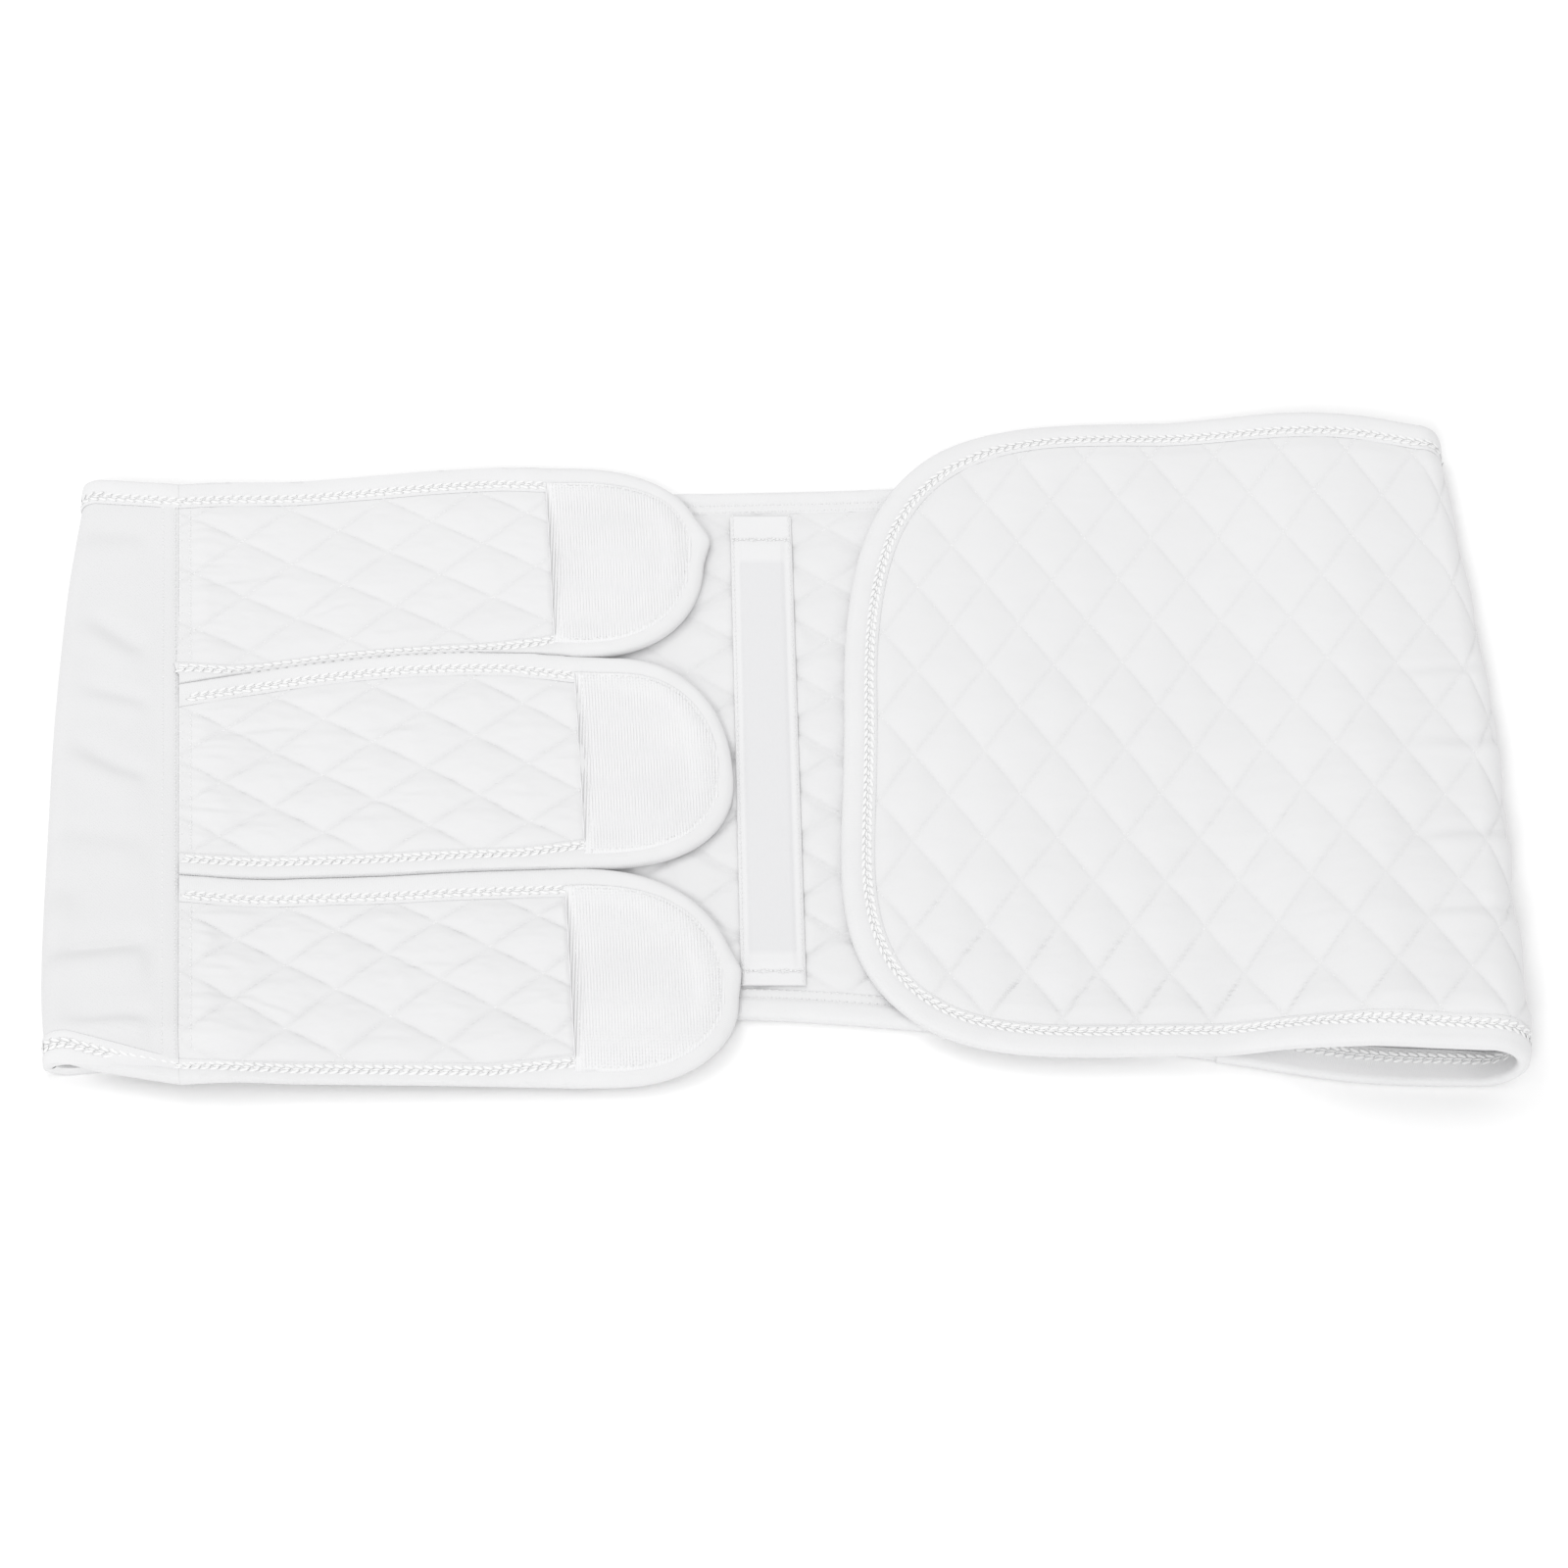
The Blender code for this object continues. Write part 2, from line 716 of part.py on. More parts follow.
def make_casing():
    """A flat sewn channel across the middle, between the tapes of its two edges."""
    middle_x = casing_left(0.0) + CASING_WIDTH / 2
    near_y = lower_edge(1, middle_x) + TAPE_DEPTH + GAP
    far_y = lower_edge(2, middle_x) - TAPE_DEPTH - GAP
    near, far = [], []
    for share in (0.0, 0.3, 0.7, 1.0):
        near.append((casing_left(near_y) + CASING_WIDTH * share, near_y))
        far.append((casing_left(far_y) + CASING_WIDTH * share, far_y))
    sheet = Sheet(middle_point, 1, near, [], far, 0, casing_left)
    low = -PAD - GAP
    rings = ((0.0, 0.0, low - CASING_THICKNESS, low),)
    make_panel("stay_casing", sheet, rings, CASING_WHITE, 0.9)


def centre_on_origin(items):
    """Stand the binder on the floor with the middle of its box over the origin."""
    corners = [vertex.co for item in items for vertex in item.data.vertices]
    low = [min(corner[axis] for corner in corners) for axis in range(3)]
    high = [max(corner[axis] for corner in corners) for axis in range(3)]
    shift = Vector((-(low[0] + high[0]) / 2, -(low[1] + high[1]) / 2, -low[2]))
    for item in items:
        item.location = shift


def main():
    for item in list(bpy.data.objects):
        bpy.data.objects.remove(item, do_unlink=True)
    collection = bpy.data.collections.new("abdominal_binder")
    bpy.context.scene.collection.children.link(collection)
    make_middle()
    make_casing()
    make_elastic()
    for tab in TABS:
        make_tab(tab)
    make_front()
    centre_on_origin(list(collection.objects))


main()
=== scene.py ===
"""Dresses the abdominal binder: quilted cotton, knitted elastic, bound edges, hook patches and
stitching, on a pale floor.

Metres, +Z up. Every soft layer is drawn on a flat domain (along, across) and laid in space by
the surface function of its fold. Along is measured over the cloth from the crest of the fold,
negative on the lower layer and positive on the upper one.
"""

import bmesh
import bpy
import numpy as np
from bpy.props import FloatProperty, FloatVectorProperty, IntProperty, PointerProperty
from math import cos, pi, radians, sin, tau
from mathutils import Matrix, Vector


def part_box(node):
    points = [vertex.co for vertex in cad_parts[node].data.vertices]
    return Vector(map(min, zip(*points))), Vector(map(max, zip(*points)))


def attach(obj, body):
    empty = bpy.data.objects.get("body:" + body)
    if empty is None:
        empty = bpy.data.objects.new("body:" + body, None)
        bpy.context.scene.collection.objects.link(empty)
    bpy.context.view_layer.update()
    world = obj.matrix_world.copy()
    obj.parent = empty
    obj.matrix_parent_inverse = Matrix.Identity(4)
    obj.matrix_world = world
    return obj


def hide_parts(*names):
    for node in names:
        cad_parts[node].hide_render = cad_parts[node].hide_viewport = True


bl_info = {
    "name": "Abdominal Binder",
    "version": (1, 0, 0),
    "blender": (4, 5, 0),
    "location": "3D View > Sidebar > Binder",
    "description": "Dresses a folded abdominal binder in quilted cotton, elastic and tape",
    "category": "Add Mesh",
}

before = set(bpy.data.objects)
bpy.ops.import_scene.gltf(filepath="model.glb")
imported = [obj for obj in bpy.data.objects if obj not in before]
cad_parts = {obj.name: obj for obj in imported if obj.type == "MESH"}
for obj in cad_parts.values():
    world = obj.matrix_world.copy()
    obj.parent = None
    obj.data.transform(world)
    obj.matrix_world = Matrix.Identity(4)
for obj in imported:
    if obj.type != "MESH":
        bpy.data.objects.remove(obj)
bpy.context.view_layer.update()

# Cloth, tape and clearance
GAP = 0.0003
SEAM = 0.00002
EDGE = 0.0010
TAPE = 0.0010
TAPE_DEPTH = 0.0120
PANEL_INSET = 0.0085
FLAT_FULLNESS = 0.0003
MIDDLE_STITCHES = (0.0082, 0.0112)
COVER = GAP + TAPE
PAD = EDGE + COVER
LOWER_LEVEL = PAD
UPPER_STEP = 2 * PAD + GAP

# Plan sizes
BODY_HEIGHT = 0.2330
ELASTIC_WIDTH = 0.0470
ELASTIC_UNDER = 0.0580
SEAM_SLANT = 0.073
TAB_LENGTH = 0.1967
TAB_GAP = 0.0002
CASING_WIDTH = 0.0226
CASING_CLEAR = 0.0008
CASING_SLANT = 0.0250
FRONT_CLEAR = 0.0155
FRONT_REACH = 0.2340
FRONT_UNDER = 0.1050

# What overhangs the lower layer sinks towards the floor
DROOP_SHARE = 0.90
DROOP_START = 0.0100
DROOP_REACH = 0.0250
NEAR_EDGE = -0.606 * BODY_HEIGHT
CURL_DEPTH = 0.0120

# Relief of the quilting: how the pillows round off, their share of the full height beside the
# tape and the distance in which they reach it, the gap and the step where the tape ends, the
# fullness on the far side and what the near side adds to it, and the most that they may rise
PILLOW_SOFTNESS = 0.55
RIM_SHARE = 0.4
RIM_REACH = 0.0065
RIM_START = 0.0002
RIM_STEP = 0.0008
FULL_FAR = 0.75
FULL_NEAR = 0.6
RISE_LIMIT = 0.0040

# Hook patches: how much the field sinks inside its raised rim, and the size of a hook
HOOK_RIM = 0.0090
HOOK_SLOPE = 0.0070
HOOK_SINK = 0.0007
HOOK_HEIGHT = 0.00036
HOOK_THREAD = 0.0003

# Heights of the casing over the middle: beside the stay and over it
CASING_LOW = 0.0007
CASING_HIGH = 0.0011

# Distances from one stitch to the next where they differ from the rest
CASING_STITCH = 0.0021
HEM_STITCH = 0.0030

# Edges of the lower layer: place along the folded length, near and far edge as shares of
# BODY_HEIGHT
LOWER_EDGES = (
    (0.000, -0.588, 0.489),
    (0.110, -0.562, 0.487),
    (0.235, -0.532, 0.487),
    (0.350, -0.507, 0.490),
    (0.480, -0.492, 0.494),
    (0.600, -0.511, 0.504),
    (0.700, -0.536, 0.524),
    (0.800, -0.564, 0.545),
    (0.900, -0.600, 0.562),
    (1.000, -0.608, 0.574),
)

# Crest of each fold: place across, how far it stands back, loop height
LEFT_FOLD = (
    (-0.610, 1.00, 1.00),
    (-0.480, 0.59, 0.97),
    (-0.350, 0.39, 0.92),
    (-0.170, 0.21, 0.86),
    (0.000, 0.05, 0.80),
    (0.150, 0.00, 0.77),
    (0.300, 0.02, 0.74),
    (0.500, 0.26, 0.72),
)
RIGHT_FOLD = (
    (-0.610, 0.19, 1.00),
    (-0.560, 0.00, 0.95),
    (-0.390, 0.10, 0.80),
    (-0.150, 0.05, 0.62),
    (0.020, 0.05, 0.55),
    (0.190, 0.27, 0.50),
    (0.290, 0.43, 0.48),
    (0.455, 0.74, 0.47),
    (0.620, 1.00, 0.46),
)

# Edges of the front panel past its fold: share of FRONT_REACH, near, far
FRONT_EDGES = (
    (0.09, -0.605, 0.592),
    (0.19, -0.600, 0.614),
    (0.30, -0.590, 0.622),
    (0.41, -0.570, 0.626),
    (0.53, -0.568, 0.628),
    (0.65, -0.570, 0.628),
)

# Edges of the tabs: share of TAB_LENGTH, far edge, the two slits, near edge
TAB_EDGES = (
    (0.00, 0.480, 0.086, -0.268, -0.614),
    (0.10, 0.490, 0.112, -0.264, -0.613),
    (0.20, 0.498, 0.133, -0.259, -0.613),
    (0.35, 0.511, 0.152, -0.254, -0.613),
    (0.50, 0.524, 0.161, -0.246, -0.613),
    (0.65, 0.531, 0.160, -0.241, -0.614),
    (0.80, 0.531, 0.155, -0.236, -0.615),
)

# Tabs: name, edge columns (near, far), where each edge starts to round, the tip's reach, the
# tip's place across, where the hook patch starts
TABS = (
    ("lower", 4, 3, 0.730, 0.709, 0.979, -0.456, 0.684),
    ("middle", 3, 2, 0.740, 0.793, 1.000, -0.065, 0.724),
    ("upper", 2, 1, 0.730, 0.732, 0.979, 0.373, 0.689),
)
TAB_ROUNDNESS = 2.3
FRONT_NEAR_ROUND = 0.620
FRONT_FAR_ROUND = 0.535
FRONT_TIP_ACROSS = -0.103
FRONT_ROUNDNESS = 3.0

# Quilting, in millimetres of plan place and place across: a corner of a diamond, the steps to
# the next corners, and how the steps bend (first squared, both, second squared)
QUILTS = {
    "tab_upper": (
        (101.7, 68.9), (19.28, -9.73), (15.83, 15.51), (0.149, -0.127), (-0.179, -0.36),
        (-0.068, -0.194),
    ),
    "tab_middle": (
        (80.8, -6.2), (17.91, -9.54), (17.36, 14.62), (0.307, -0.383), (0.029, -0.394),
        (-0.123, 0.039),
    ),
    "tab_lower": (
        (125.9, -92.0), (18.28, -10.13), (16.64, 14.07), (0.264, -0.281), (-0.328, 0.261),
        (-0.084, -0.577),
    ),
    "front_panel": (
        (371.2, -60.9), (12.51, -18.85), (12.69, 18.84), (0.068, -0.132), (-0.077, -0.211),
        (-0.031, -0.055),
    ),
    "back_panel": ((277.6, 98.5), (17.52, -12.1), (16.82, 13.41), (0, 0), (0, 0), (0, 0)),
}

# How much of the binding curls under along the near and far edges, in millimetres
TUCKS = {
    "elastic_panel": (((0, 3.2), (1, 3.2)), ((0, 1.0), (1, 1.0))),
    "tab_upper": (
        ((0, 2.0), (5, 2.8), (18, 6.8), (32, 8.2), (80, 8.4), (110, 7.2), (130, 4.0), (143, 0)),
        ((0, 1.0), (20, 1.5), (120, 1.5), (140, 0)),
    ),
    "tab_middle": (((0, 2.5), (120, 2.5), (143, 0)), ((0, 3.0), (120, 2.5), (143, 0))),
    "tab_lower": (((0, 3.2), (20, 4.8), (105, 4.6), (143, 0)), ((0, 1.0), (20, 0.5), (143, 0))),
    "back_panel": (((0, 0), (1, 0)), ((0, 2.5), (1, 2.5))),
}

# Where the ends of a binding overlap in a small point: along, across, size
JOINS = {"upper": (0.1922, 0.0898, 0.0030), "lower": (0.1931, -0.0985, 0.0020)}

# Soft creases of the elastic: plan place, place across, direction in degrees, length, width,
# depth
ELASTIC_CREASES = (
    (0.0225, 0.0425, -35.0, 0.026, 0.0040, 0.00180),
    (0.0243, 0.0160, -18.0, 0.026, 0.0036, 0.00125),
    (0.0252, -0.0130, -31.0, 0.032, 0.0045, 0.00180),
    (0.0270, -0.0920, 3.0, 0.040, 0.0050, 0.00260),
    (0.0350, -0.1210, 3.0, 0.034, 0.0038, 0.00185),
    (0.0160, 0.0890, -3.0, 0.026, 0.0048, 0.00095),
    (0.0240, -0.0450, -6.0, 0.034, 0.0055, 0.00095),
    (0.0100, -0.0700, -4.0, 0.018, 0.0060, 0.00105),
)

# Creases of the tabs: distance from the seam, place across, the rest as above
TAB_CREASES = (
    (0.0220, 0.0695, 12.0, 0.032, 0.0014, 0.00060),
    (0.0550, 0.0580, 26.0, 0.016, 0.0013, 0.00040),
    (0.0290, 0.0020, 8.0, 0.030, 0.0015, 0.00065),
    (0.0745, 0.0050, 7.0, 0.026, 0.0014, 0.00055),
    (0.0730, -0.0280, 0.0, 0.018, 0.0012, 0.00040),
    (0.0120, -0.0330, -8.0, 0.020, 0.0013, 0.00050),
    (0.0150, -0.1100, 2.0, 0.024, 0.0015, 0.00070),
    (0.0330, -0.1140, -22.0, 0.018, 0.0014, 0.00060),
    (0.0900, -0.0950, 9.0, 0.026, 0.0015, 0.00055),
)

# Creases of the front where it turns over: distance past the crest of the fold, place across
FRONT_CREASES = (
    (0.0180, -0.0060, -5.0, 0.044, 0.0030, 0.00100),
    (0.0200, -0.0480, -6.0, 0.046, 0.0032, 0.00110),
    (0.0260, 0.0250, -4.0, 0.036, 0.0028, 0.00070),
    (0.0220, -0.0830, -3.0, 0.036, 0.0030, 0.00080),
)


def distance(name, default, description):
    """A length in the panel."""
    return FloatProperty(
        name=name, description=description, default=default, min=0.0, subtype="DISTANCE"
    )


def tint(name, default, description):
    """A colour in the panel."""
    return FloatVectorProperty(
        name=name, description=description, default=default, min=0.0, max=1.0, subtype="COLOR"
    )


class QuiltSettings(bpy.types.PropertyGroup):
    puff: distance("Puff", 0.0018, "Height of the middle of a diamond over its stitched lines")
    wrinkle: distance("Wrinkle", 0.00026, "Depth of the wrinkles that the stitching pulls in")
    gather: distance("Gather", 0.0004, "Depth of the gathers where the tabs are sewn on")
    colour: tint("Cotton", (0.752, 0.752, 0.757), "Colour of the quilted cotton")


class TapeSettings(bpy.types.PropertyGroup):
    fullness: distance("Fullness", 0.0004, "How far the roll stands over the flat part")
    band_inner: distance("Band inset", 0.0091, "Middle of the braid, from the edge of the cloth")
    colour: tint("Tape", (0.764, 0.764, 0.769), "Colour of the binding tape")


class ElasticSettings(bpy.types.PropertyGroup):
    hem: distance("Hem", 0.0068, "Width of the elastic's hem along the seam with the tabs")
    colour: tint("Elastic", (0.742, 0.742, 0.748), "Colour of the knitted elastic")


class HookSettings(bpy.types.PropertyGroup):
    margin: distance("Margin", 0.0048, "From the edge of a tab to the edge of its hook patch")
    pitch: distance("Pitch", 0.00108, "Distance between two rows of hooks")
    colour: tint("Hook tape", (0.835, 0.835, 0.839), "Colour of the hook tape")


class StitchSettings(bpy.types.PropertyGroup):
    length: distance("Stitch length", 0.0026, "Distance from one stitch to the next")
    thread: distance("Thread", 0.00032, "Thickness of the sewing thread")
    braid_pitch: distance("Braid pitch", 0.0033, "Length of one link of the braid")
    braid_width: distance("Braid width", 0.0036, "Width of the braid on the bindings")
    colour: tint("Thread colour", (0.865, 0.865, 0.865), "Colour of the sewing thread")


class CasingSettings(bpy.types.PropertyGroup):
    core: distance("Stay width", 0.0165, "Width of the stay that shows as a band in the casing")
    colour: tint("Casing", (0.775, 0.775, 0.781), "Colour of the stay casing")


class StageSettings(bpy.types.PropertyGroup):
    elevation: FloatProperty(name="Elevation of the camera", default=radians(55), subtype="ANGLE")
    distance: distance("Distance", 1.690, "From the camera to the middle of the view")
    lens: FloatProperty(name="Lens, in millimetres", default=108.675)
    sky: FloatProperty(name="Strength of the even light from all round", default=0.875)
    key: FloatProperty(name="Power of the large soft light, in watts", default=116.0)
    fill: FloatProperty(name="Power of the light over the far left side", default=2.2)


class BinderSettings(bpy.types.PropertyGroup):
    quilt: PointerProperty(type=QuiltSettings)
    tape: PointerProperty(type=TapeSettings)
    elastic: PointerProperty(type=ElasticSettings)
    hook: PointerProperty(type=HookSettings)
    stitch: PointerProperty(type=StitchSettings)
    casing: PointerProperty(type=CasingSettings)
    stage: PointerProperty(type=StageSettings)
    seed: IntProperty(name="Seed", description="Seed of the wrinkles", default=7)


def settings():
    return bpy.context.scene.binder


def smooth(value):
    value = np.clip(value, 0.0, 1.0)
    return value * value * (3 - 2 * value)


def blend(first, last, share):
    return first + (last - first) * share


def read(table, column, place):
    """Read a column of a table by its first column, with a smooth curve through the rows."""
    rows = np.asarray(table, float)
    xs, ys = rows[:, 0], rows[:, column]
    last = len(xs) - 1
    place = np.clip(np.asarray(place, float), xs[0], xs[-1])
    row = np.clip(np.searchsorted(xs, place, side="right") - 1, 0, last - 1)
    before = np.maximum(np.arange(last + 1) - 1, 0)
    after = np.minimum(np.arange(last + 1) + 1, last)
    slope = (ys[after] - ys[before]) / (xs[after] - xs[before])
    width, rise = xs[row + 1] - xs[row], ys[row + 1] - ys[row]
    t = (place - xs[row]) / width
    curve0, curve1 = slope[row] * width - rise, rise - slope[row + 1] * width
    return blend(ys[row], ys[row + 1], t) + t * (1 - t) * (curve0 * (1 - t) + curve1 * t)


def ripple(x, y, cell, seed):
    """Smooth random field from -1 to 1, with one value for each cell."""
    grid = np.random.default_rng(seed).uniform(-1, 1, (257, 257))
    u, v = np.asarray(x) / cell + 128.0, np.asarray(y) / cell + 128.0
    i, j = np.floor(u).astype(int), np.floor(v).astype(int)
    s, t = smooth(u - i), smooth(v - j)
    i, j = i % 256, j % 256
    low = blend(grid[i, j], grid[i + 1, j], s)
    high = blend(grid[i, j + 1], grid[i + 1, j + 1], s)
    return blend(low, high, t)


def seam_x(across):
    return ELASTIC_WIDTH - SEAM_SLANT * across


def casing_left(across):
    tips = (
        seam_x(tab[6] * BODY_HEIGHT) + tab[5] * TAB_LENGTH + CASING_SLANT * tab[6] * BODY_HEIGHT
        for tab in TABS
    )
    return max(tips) + CASING_CLEAR - CASING_SLANT * across


FREE_EDGE = casing_left(0.0) + CASING_WIDTH + FRONT_CLEAR
LENGTH = FREE_EDGE + FRONT_REACH


def lower_edge(column, x):
    return read(LOWER_EDGES, column, x / LENGTH) * BODY_HEIGHT


def cad_shift():
    """From the sizes above to the middle of the part's base, measured on the stay casing."""
    low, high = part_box("stay_casing")
    middle = casing_left(0.0) + CASING_WIDTH / 2
    far_y = float(lower_edge(2, middle)) - TAPE_DEPTH - GAP
    return np.array((low[0] - casing_left(far_y), high[1] - far_y, 0.0))


SHIFT = cad_shift()


class Fold:
    """One folded end: side is 1 on the right and -1 on the left."""

    def __init__(self, side, table, crest, loop, lean, plateau, fall, curl=0.0, bow=0.0):
        self.side = side
        self.bow = bow
        self.curl = curl
        self.table = table
        self.crest = crest
        self.loop = loop
        self.lean = lean
        self.plateau = plateau
        self.fall = fall
        self.quarter = pi / 4 * loop

    def crest_x(self, across):
        return self.crest - self.side * self.lean * read(self.table, 1, across / BODY_HEIGHT)

    def loop_height(self, across):
        return self.loop * read(self.table, 2, across / BODY_HEIGHT)

    def along_at(self, x, across):
        reach = self.side * (self.crest_x(across) - x)
        return self.quarter + reach - self.loop_height(across) / 2

    def lower_x(self, along, across):
        reach = -along - self.quarter + self.loop_height(across) / 2
        return self.crest_x(across) - self.side * reach

    def lower_bow(self, along, across):
        """The lower layer rises a little behind its near edge, towards the fold."""
        if not self.bow:
            return 0.0
        x = self.crest_x(across) + self.side * (along + self.quarter)
        behind = smooth((across - lower_edge(1, x) - 0.001) / 0.022)
        reach = smooth((along + self.quarter + 0.100) / 0.045)
        return self.bow * behind * reach * smooth((-0.35 * self.quarter - along) / 0.030)

    def point(self, spots):
        along, across = spots[..., 0], spots[..., 1]
        height = self.loop_height(across)
        radius = height / 2
        crest = self.crest_x(across)
        turn = np.clip(along / self.quarter, -1, 1) * pi / 2
        curl = self.curl * smooth((NEAR_EDGE + 1.3 * CURL_DEPTH - across) / CURL_DEPTH)
        arc_x = crest - self.side * radius * (1 - np.cos(turn))
        arc_z = LOWER_LEVEL + (radius - curl / 2) * (1 + np.sin(turn))
        reach = along - self.quarter + radius
        upper_x = crest - self.side * reach
        lift = 1 - smooth((reach - self.plateau) / self.fall)
        over = np.maximum(lower_edge(1, upper_x) - across, across - lower_edge(2, upper_x))
        droop = DROOP_SHARE * UPPER_STEP * smooth((over - DROOP_START) / DROOP_REACH)
        curl = curl * lift * (1 - smooth((np.abs(upper_x - crest) - 0.040) / 0.050))
        upper_z = LOWER_LEVEL + height * lift + (UPPER_STEP - droop) * (1 - lift) - curl
        x = np.where(along > self.quarter, upper_x, arc_x)
        x = np.where(along < -self.quarter, self.lower_x(along, across), x)
        z = np.where(along > self.quarter, upper_z, arc_z)
        z = np.where(along < -self.quarter, LOWER_LEVEL, z) + self.lower_bow(along, across)
        return np.stack((x, across + 0 * x, z), axis=-1)


LEFT = Fold(-1, LEFT_FOLD, PAD, 0.0140, 0.0110, 0.0250, 0.0600, curl=0.0090)
RIGHT = Fold(1, RIGHT_FOLD, LENGTH - PAD, 0.0280, 0.0105, 0.0410, 0.0640, curl=0.0045, bow=0.0075)


def seam_along(across):
    return LEFT.along_at(seam_x(across), across)


def tab_point(spots):
    moved = np.array(spots, float)
    moved[..., 0] += seam_along(spots[..., 1])
    return LEFT.point(moved)


def middle_point(spots):
    return np.stack((spots[..., 0], spots[..., 1], 0 * spots[..., 0] + LOWER_LEVEL), axis=-1)


class Cut:
    """A flat cut of cloth on a surface, with fine stations along its near and far sides.

    It has the four sides near, end, far and start. The start is a seam on start_line, and the
    end is one too where end_line is given. Face 1 is the binder's inner face and -1 its outer.
    """

    def __init__(self, surface, side, near, end, far, settle, start_line, end_line=None):
        self.surface = surface
        self.side = side
        self.long = len(near) - 1
        self.wide = len(end) + 1
        share = (np.arange(self.wide - 1) + 1)[:, None] / self.wide
        start = far[0] + (near[0] - far[0]) * share
        self.loop = np.concatenate((near, end, far[::-1], start))
        self.settle = settle
        self.start_line = start_line
        self.end_line = end_line
        k = np.arange(len(self.loop))
        self.seam_edge = k >= 2 * self.long + self.wide
        if end_line is not None:
            self.seam_edge |= (k >= self.long) & (k < self.long + self.wide)
        self.hidden = np.zeros(len(self.loop))
        self.bump = np.zeros((len(self.loop), 2))
        self.join = None

    def tuck(self, name):
        """Curl the binding under along the near and far sides."""
        for first, table in zip((0, self.long + self.wide), TUCKS[name]):
            edges = np.arange(first, first + self.long)
            places, depths = (np.array(column) / 1000 for column in zip(*table))
            self.hidden[edges] = np.interp(self.loop[edges, 0], places, depths)

    def ring(self, tape_inset, seam_inset=0.0, tucked=True):
        """The outline moved inwards, by its own distance on the taped sides and the seams."""
        point = 1 - smooth(np.min(tape_inset) / 0.007)
        if tucked:
            tape_inset = np.maximum(tape_inset - self.hidden, 0.15 * tape_inset)
        loop = self.loop
        after = np.roll(loop, -1, axis=0)
        area = np.sum(loop[:, 0] * after[:, 1] - after[:, 0] * loop[:, 1])
        edge = after - loop
        edge /= np.linalg.norm(edge, axis=1)[:, None]
        n1 = np.stack((-edge[:, 1], edge[:, 0]), axis=1) * np.sign(area)
        n0 = np.roll(n1, 1, axis=0)
        d1 = np.where(self.seam_edge, seam_inset, tape_inset)
        d0 = np.roll(d1, 1)
        cross = n0[:, 0] * n1[:, 1] - n0[:, 1] * n1[:, 0]
        flat = np.abs(cross) < 0.3
        safe = np.where(flat, 1.0, cross)
        corner = np.stack(
            (d0 * n1[:, 1] - d1 * n0[:, 1], d1 * n0[:, 0] - d0 * n1[:, 0]), axis=1
        ) / safe[:, None]
        half = n0 + n1
        half /= np.linalg.norm(half, axis=1)[:, None]
        moved = loop + np.where(flat[:, None], half * ((d0 + d1) / 2)[:, None], corner)
        seams = [(2 * self.long + self.wide, self.start_line, seam_inset)]
        if self.end_line is not None:
            seams.append((self.long, self.end_line, -seam_inset))
        for first, line, inset in seams:
            places = (first + np.arange(self.wide + 1)) % len(loop)
            across = np.linspace(moved[places[0], 1], moved[places[-1], 1], self.wide + 1)
            moved[places] = pairs(line(across) + inset + 0 * across, across)
        return moved + self.bump * point

    def grid(self, ring):
        """Rows of stations from near to far inside a ring."""
        far = ring[2 * self.long + self.wide - np.arange(self.long + 1)]
        near = ring[: self.long + 1]
        end = ring[self.long : self.long + self.wide + 1]
        share = np.linspace(0, 1, self.wide + 1)[None, :, None]
        rows = near[:, None] + (far - near)[:, None] * share
        bulge = end - (end[0] + (end[-1] - end[0]) * share[0])
        steps = np.arange(self.long + 1)
        pull = np.clip((steps - self.settle) / (self.long - self.settle), 0, 1)
        rows = rows + bulge[None] * pull[:, None, None]
        count = len(ring)
        rows[0] = ring[(count - np.arange(self.wide + 1)) % count]
        rows[-1] = end
        return rows

    def normals(self, spots):
        step = 0.0003
        shift_a, shift_y = np.array((step, 0.0)), np.array((0.0, step))
        along = self.surface(spots + shift_a) - self.surface(spots - shift_a)
        across = self.surface(spots + shift_y) - self.surface(spots - shift_y)
        normal = np.cross(along, across) * -self.side
        return normal / np.linalg.norm(normal, axis=-1)[..., None]

    def place(self, spots, height):
        height = np.asarray(height)[..., None]
        return self.surface(spots) + self.normals(spots) * height + SHIFT

    def inset_of(self, spots):
        """Distance of each spot from the taped sides of the outline."""
        keep = ~self.seam_edge
        start = self.loop[keep]
        edge = np.roll(self.loop, -1, axis=0)[keep] - start
        size = np.sum(edge * edge, axis=1)
        flat = spots.reshape(-1, 2)
        found = np.empty(len(flat))
        for first in range(0, len(flat), 4000):
            part = flat[first : first + 4000, None] - start[None]
            t = np.clip(np.sum(part * edge, axis=2) / size, 0, 1)
            away = part - edge * t[..., None]
            away = np.sum(away * away, axis=2)
            nearest = np.argmin(away, axis=1)
            away = away[np.arange(len(away)), nearest]
            found[first : first + 4000] = np.sqrt(away) + self.hidden[keep][nearest]
        return found.reshape(spots.shape[:-1])

    def holds(self, spots):
        """Whether each spot lies inside the outline."""
        x0, y0 = self.loop[:, 0], self.loop[:, 1]
        x1, y1 = np.roll(x0, -1), np.roll(y0, -1)
        a, y = spots[..., 0, None], spots[..., 1, None]
        rise = np.where(y1 == y0, 1e-12, y1 - y0)
        hit = ((y0 > y) != (y1 > y)) & (a < (x1 - x0) * (y - y0) / rise + x0)
        return np.sum(hit, axis=-1) % 2 == 1


def even_points(points, count):
    """Resample a line to a number of steps of one length."""
    points = np.asarray(points, float)
    along = np.concatenate(([0], np.cumsum(np.linalg.norm(np.diff(points, axis=0), axis=1))))
    places = np.linspace(0, along[-1], count + 1)
    return np.stack([np.interp(places, along, points[:, k]) for k in (0, 1)], axis=1)


